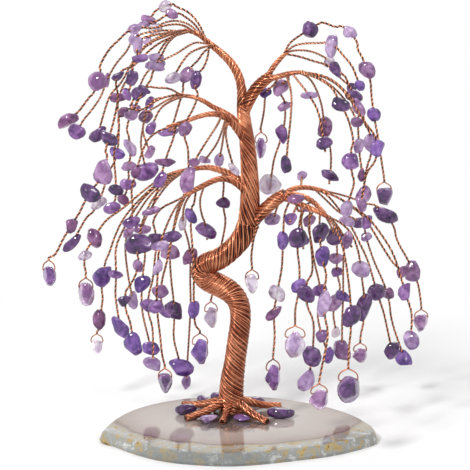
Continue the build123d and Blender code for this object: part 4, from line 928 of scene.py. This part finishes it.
def agate_material():
    """Polished agate: a milky grey middle, an uneven brown band and a mottled rind with ochre specks, and a
    painted reflection and shade in front of the roots.
    """
    nodes, coordinates = new_material("agate")
    out = far_out(nodes, coordinates, POLISH_MIDDLE, POLISH_REACH)
    warp = nodes.add("TexNoise", coordinates, Scale=70.0, Detail=6.0, Roughness=0.6)
    radius = nodes.add("Math", warp, 0.22, out, operation="MULTIPLY_ADD")
    shrunk = nodes.add("Math", radius, 0.6, operation="MULTIPLY")
    colour = nodes.ramp(shrunk, AGATE_BANDS)
    specks = nodes.add("TexNoise", coordinates, Scale=230.0, Detail=7.0, Roughness=0.72, Distortion=0.6)
    rind = nodes.add("MapRange", shrunk, From_Min=0.665, From_Max=0.70)
    side = nodes.add("MapRange", shrunk, From_Min=0.80, From_Max=0.87, To_Min=1.0, To_Max=0.3)
    mottled = nodes.add("Math", rind, side, operation="MULTIPLY")
    for low, high, tint in SPECKS:
        spots = nodes.add("MapRange", specks, From_Min=low, From_Max=high)
        both = nodes.add("Math", mottled, spots, operation="MULTIPLY")
        colour = nodes.add("Mix", data_type="RGBA", Factor=both, A=colour, B=tint)
    # Painted reflection and shade of the trunk's foot: a ragged dark patch on the slice in front of the roots
    out = far_out(nodes, coordinates, ROOT_SHADE_MIDDLE, ROOT_SHADE_REACH)
    ragged = nodes.add("Math", specks, ROOT_SHADE_RAGGEDNESS, out, operation="MULTIPLY_ADD")
    root_shade = nodes.add("MapRange", ragged, From_Min=1.0 + ROOT_SHADE_RAGGEDNESS / 2,
                      From_Max=0.75 + ROOT_SHADE_RAGGEDNESS / 2, To_Max=0.8)
    return nodes.finish(
        Base_Color=nodes.add("Mix", data_type="RGBA", Factor=root_shade, A=colour, B=ROOT_SHADE_COLOUR),
        Roughness=0.07, Transmission_Weight=0.1, Coat_Weight=0.5, Coat_Roughness=0.06,
        Normal=nodes.add("Bump", Height=specks, Strength=0.06, Distance=0.0002),
    )


def glue_material():
    """Dark, lumpy, hardened glue."""
    nodes, coordinates = new_material("glue")
    noise = nodes.add("TexNoise", coordinates, Scale=300.0, Detail=3.0)
    return nodes.finish(
        Base_Color=nodes.ramp(noise, ((0.35, (0.035, 0.022, 0.02)), (0.65, (0.12, 0.07, 0.055)))),
        Roughness=0.18, Normal=nodes.add("Bump", Height=noise, Strength=0.4, Distance=0.0004),
    )


def finish_node(node, material):
    """Gives a CAD node that stays its own finish."""
    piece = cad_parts[node]
    piece.data.materials.clear()
    piece.data.materials.append(material)


def dress_wires(piece, node):
    """Lets a piece of copper wire take a CAD node's place on the tree."""
    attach(piece, "tree")
    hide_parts(node)


def dress_stone(name, points, tone, material, body, node):
    """A stone as a piece that takes a CAD node's place on its body."""
    parts = MeshParts()
    parts.shape(points, BALL_FACES, tone)
    piece = parts.build(name, material)
    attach(piece, body)
    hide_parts(node)


def dress_tree(copper):
    """Every bundle of the trunk, limbs and roots."""
    for seed, name in enumerate(LIMBS):
        dress_wires(limb_bundle(name, seed * 1.3, copper), name)
    for seed, name in enumerate(ROOTS):
        dress_wires(root_bundle(name, seed * 0.9 + 4.0, copper), name)


def dress_strands(copper, stones):
    """Strands, fixed chips and hanging chips, group by group."""
    rows = [(limb, row) for limb, rows in STRANDS.items() for row in rows]
    laid = [Strand(limb, order, row) for order, (limb, row) in enumerate(rows, 1)]
    number = 0
    for group, letters in CHIP_SHADES.items():
        strands = [strand for strand in laid if strand.group == group]
        dress_wires(strand_group(group, strands, copper), f"{group}_strands")
        chips = [chip for strand in strands for chip in strand.chips]
        for count, (letter, (kind, centre, axes, half, seed)) in enumerate(zip(letters, chips), 1):
            points = stone_points(kind, half, seed) @ np.array(axes) + centre
            dress_stone(f"{group}_stone_{count}", points, (seed * FIXED_TONE_STEP) % 1.0, stones[letter],
                        "tree", f"{group}_chips")
        for kind, top, _, _, tall, wide, seed in (strand.hanging for strand in strands if strand.hanging):
            half = (0.5 * tall, 0.5 * wide, 0.5 * wide * CHIP_THICKNESS_SHARE)
            points = stone_points(kind, half, seed + 0.5) @ np.array((-Z, X, Y)) + (top - half[0] * Z)
            material = stones[HANGING_SHADES[number]]
            number += 1
            dress_stone(f"hanging_stone_{number}", points, (seed * HANGING_TONE_STEP) % 1.0, material,
                        f"hanging_chip_{number}", f"hanging_chip_{number}")


def dress_foot(stones):
    """The chips that lie round the foot."""
    for seed, (chip, letter) in enumerate(zip(FOOT_CHIPS, FOOT_SHADES)):
        heading, distance, kind, length, breadth, turn = chip
        angle = radians(heading)
        along = np.array([cos(radians(turn)), sin(radians(turn)), 0.0])
        axes = np.array([along, np.cross(Z, along), Z])
        points = stone_points(kind, half_sizes(length, breadth), seed + 0.3) @ axes
        centre = np.array([
            FOOT_X + distance * PIXEL * cos(angle), FOOT_Y + distance * PIXEL * sin(angle),
            SLICE_THICKNESS - points[:, 2].min() + REST_GAP,
        ])
        dress_stone(f"foot_stone_{seed + 1}", points + centre, seed * FOOT_TONE_STEP, stones[letter],
                    "tree", "foot_chips")


def add_camera():
    """The camera where the picture was seen from."""
    data = bpy.data.cameras.new("camera")
    data.sensor_width = CAMERA_SENSOR
    data.lens = CAMERA_SENSOR * VIEW_DISTANCE / (PICTURE_SIDE * PIXEL)
    data.clip_start, data.clip_end = CAMERA_CLIP
    camera = add_object("camera", data)
    rows = np.column_stack((RIGHT, UP, -FORWARD, EYE * METRE)).tolist()
    camera.matrix_world = Matrix(rows + [[0.0, 0.0, 0.0, 1.0]])
    bpy.context.scene.camera = camera


def seen_directly(nodes):
    """1 for rays that show the surroundings: from the camera, off a mirror or through glass."""
    path = nodes.tree.nodes.new("ShaderNodeLightPath")
    value = path.outputs["Is Camera Ray"]
    for name in ("Is Glossy Ray", "Is Transmission Ray"):
        value = nodes.add("Math", value, path.outputs[name], operation="MAXIMUM")
    return value


def add_floor():
    """A pale floor that keeps the ornament's shadow, and is plain white to the eye farther off."""
    nodes, coordinates = new_material("floor")
    material = nodes.finish(Base_Color=FLOOR_COLOUR, Roughness=0.9)
    distance = nodes.add("VectorMath", coordinates, operation="LENGTH")
    far = nodes.add("MapRange", distance, interpolation_type="SMOOTHSTEP", From_Min=SHADOW_REACH[0],
                    From_Max=SHADOW_REACH[1])
    share = nodes.add("Math", far, seen_directly(nodes), operation="MULTIPLY")
    lit = nodes.tree.nodes["Principled BSDF"].outputs["BSDF"]
    shown = nodes.add("MixShader", share, lit, nodes.add("Emission"))
    nodes.put(shown, nodes.tree.nodes["Material Output"].inputs["Surface"])
    mesh = bpy.data.meshes.new("floor")
    corners = ((-1, -1), (1, -1), (1, 1), (-1, 1))
    mesh.from_pydata([(x * FLOOR_REACH, y * FLOOR_REACH, 0.0) for x, y in corners], [], [(0, 1, 2, 3)])
    mesh.materials.append(material)
    add_object("floor", mesh)


def add_world():
    """A world that is white where it is seen, and lights the tree more softly than that."""
    world = bpy.data.worlds.new("world")
    bpy.context.scene.world = world
    nodes = Nodes(world)
    background = nodes.tree.nodes["Background"]
    background.inputs["Color"].default_value = WHITE
    background.inputs["Strength"].default_value = WORLD_STRENGTH
    white = nodes.add("Background", Color=WHITE)
    lit = background.outputs["Background"]
    shown = nodes.add("MixShader", seen_directly(nodes), lit, white)
    nodes.put(shown, nodes.tree.nodes["World Output"].inputs["Surface"])


def add_lamps():
    """The lamps, aimed at the tree."""
    for name, location, size, power in LAMPS:
        data = bpy.data.lights.new(name, "AREA")
        data.energy = power
        data.size = size
        lamp = add_object(name, data)
        lamp.location = location
        lamp.rotation_euler = (Vector(LAMP_AIM) - Vector(location)).to_track_quat("-Z", "Y").to_euler()


def main():
    """Dresses the tree and sets up the studio."""
    copper = copper_material()
    stones = {letter: amethyst_material(*shade) for letter, shade in SHADES.items()}
    dress_tree(copper)
    dress_strands(copper, stones)
    dress_foot(stones)
    finish_node("agate_slice", agate_material())
    finish_node("glue_pad", glue_material())
    add_floor()
    add_world()
    add_lamps()
    add_camera()
    bpy.context.scene.view_settings.view_transform = "Standard"


main()
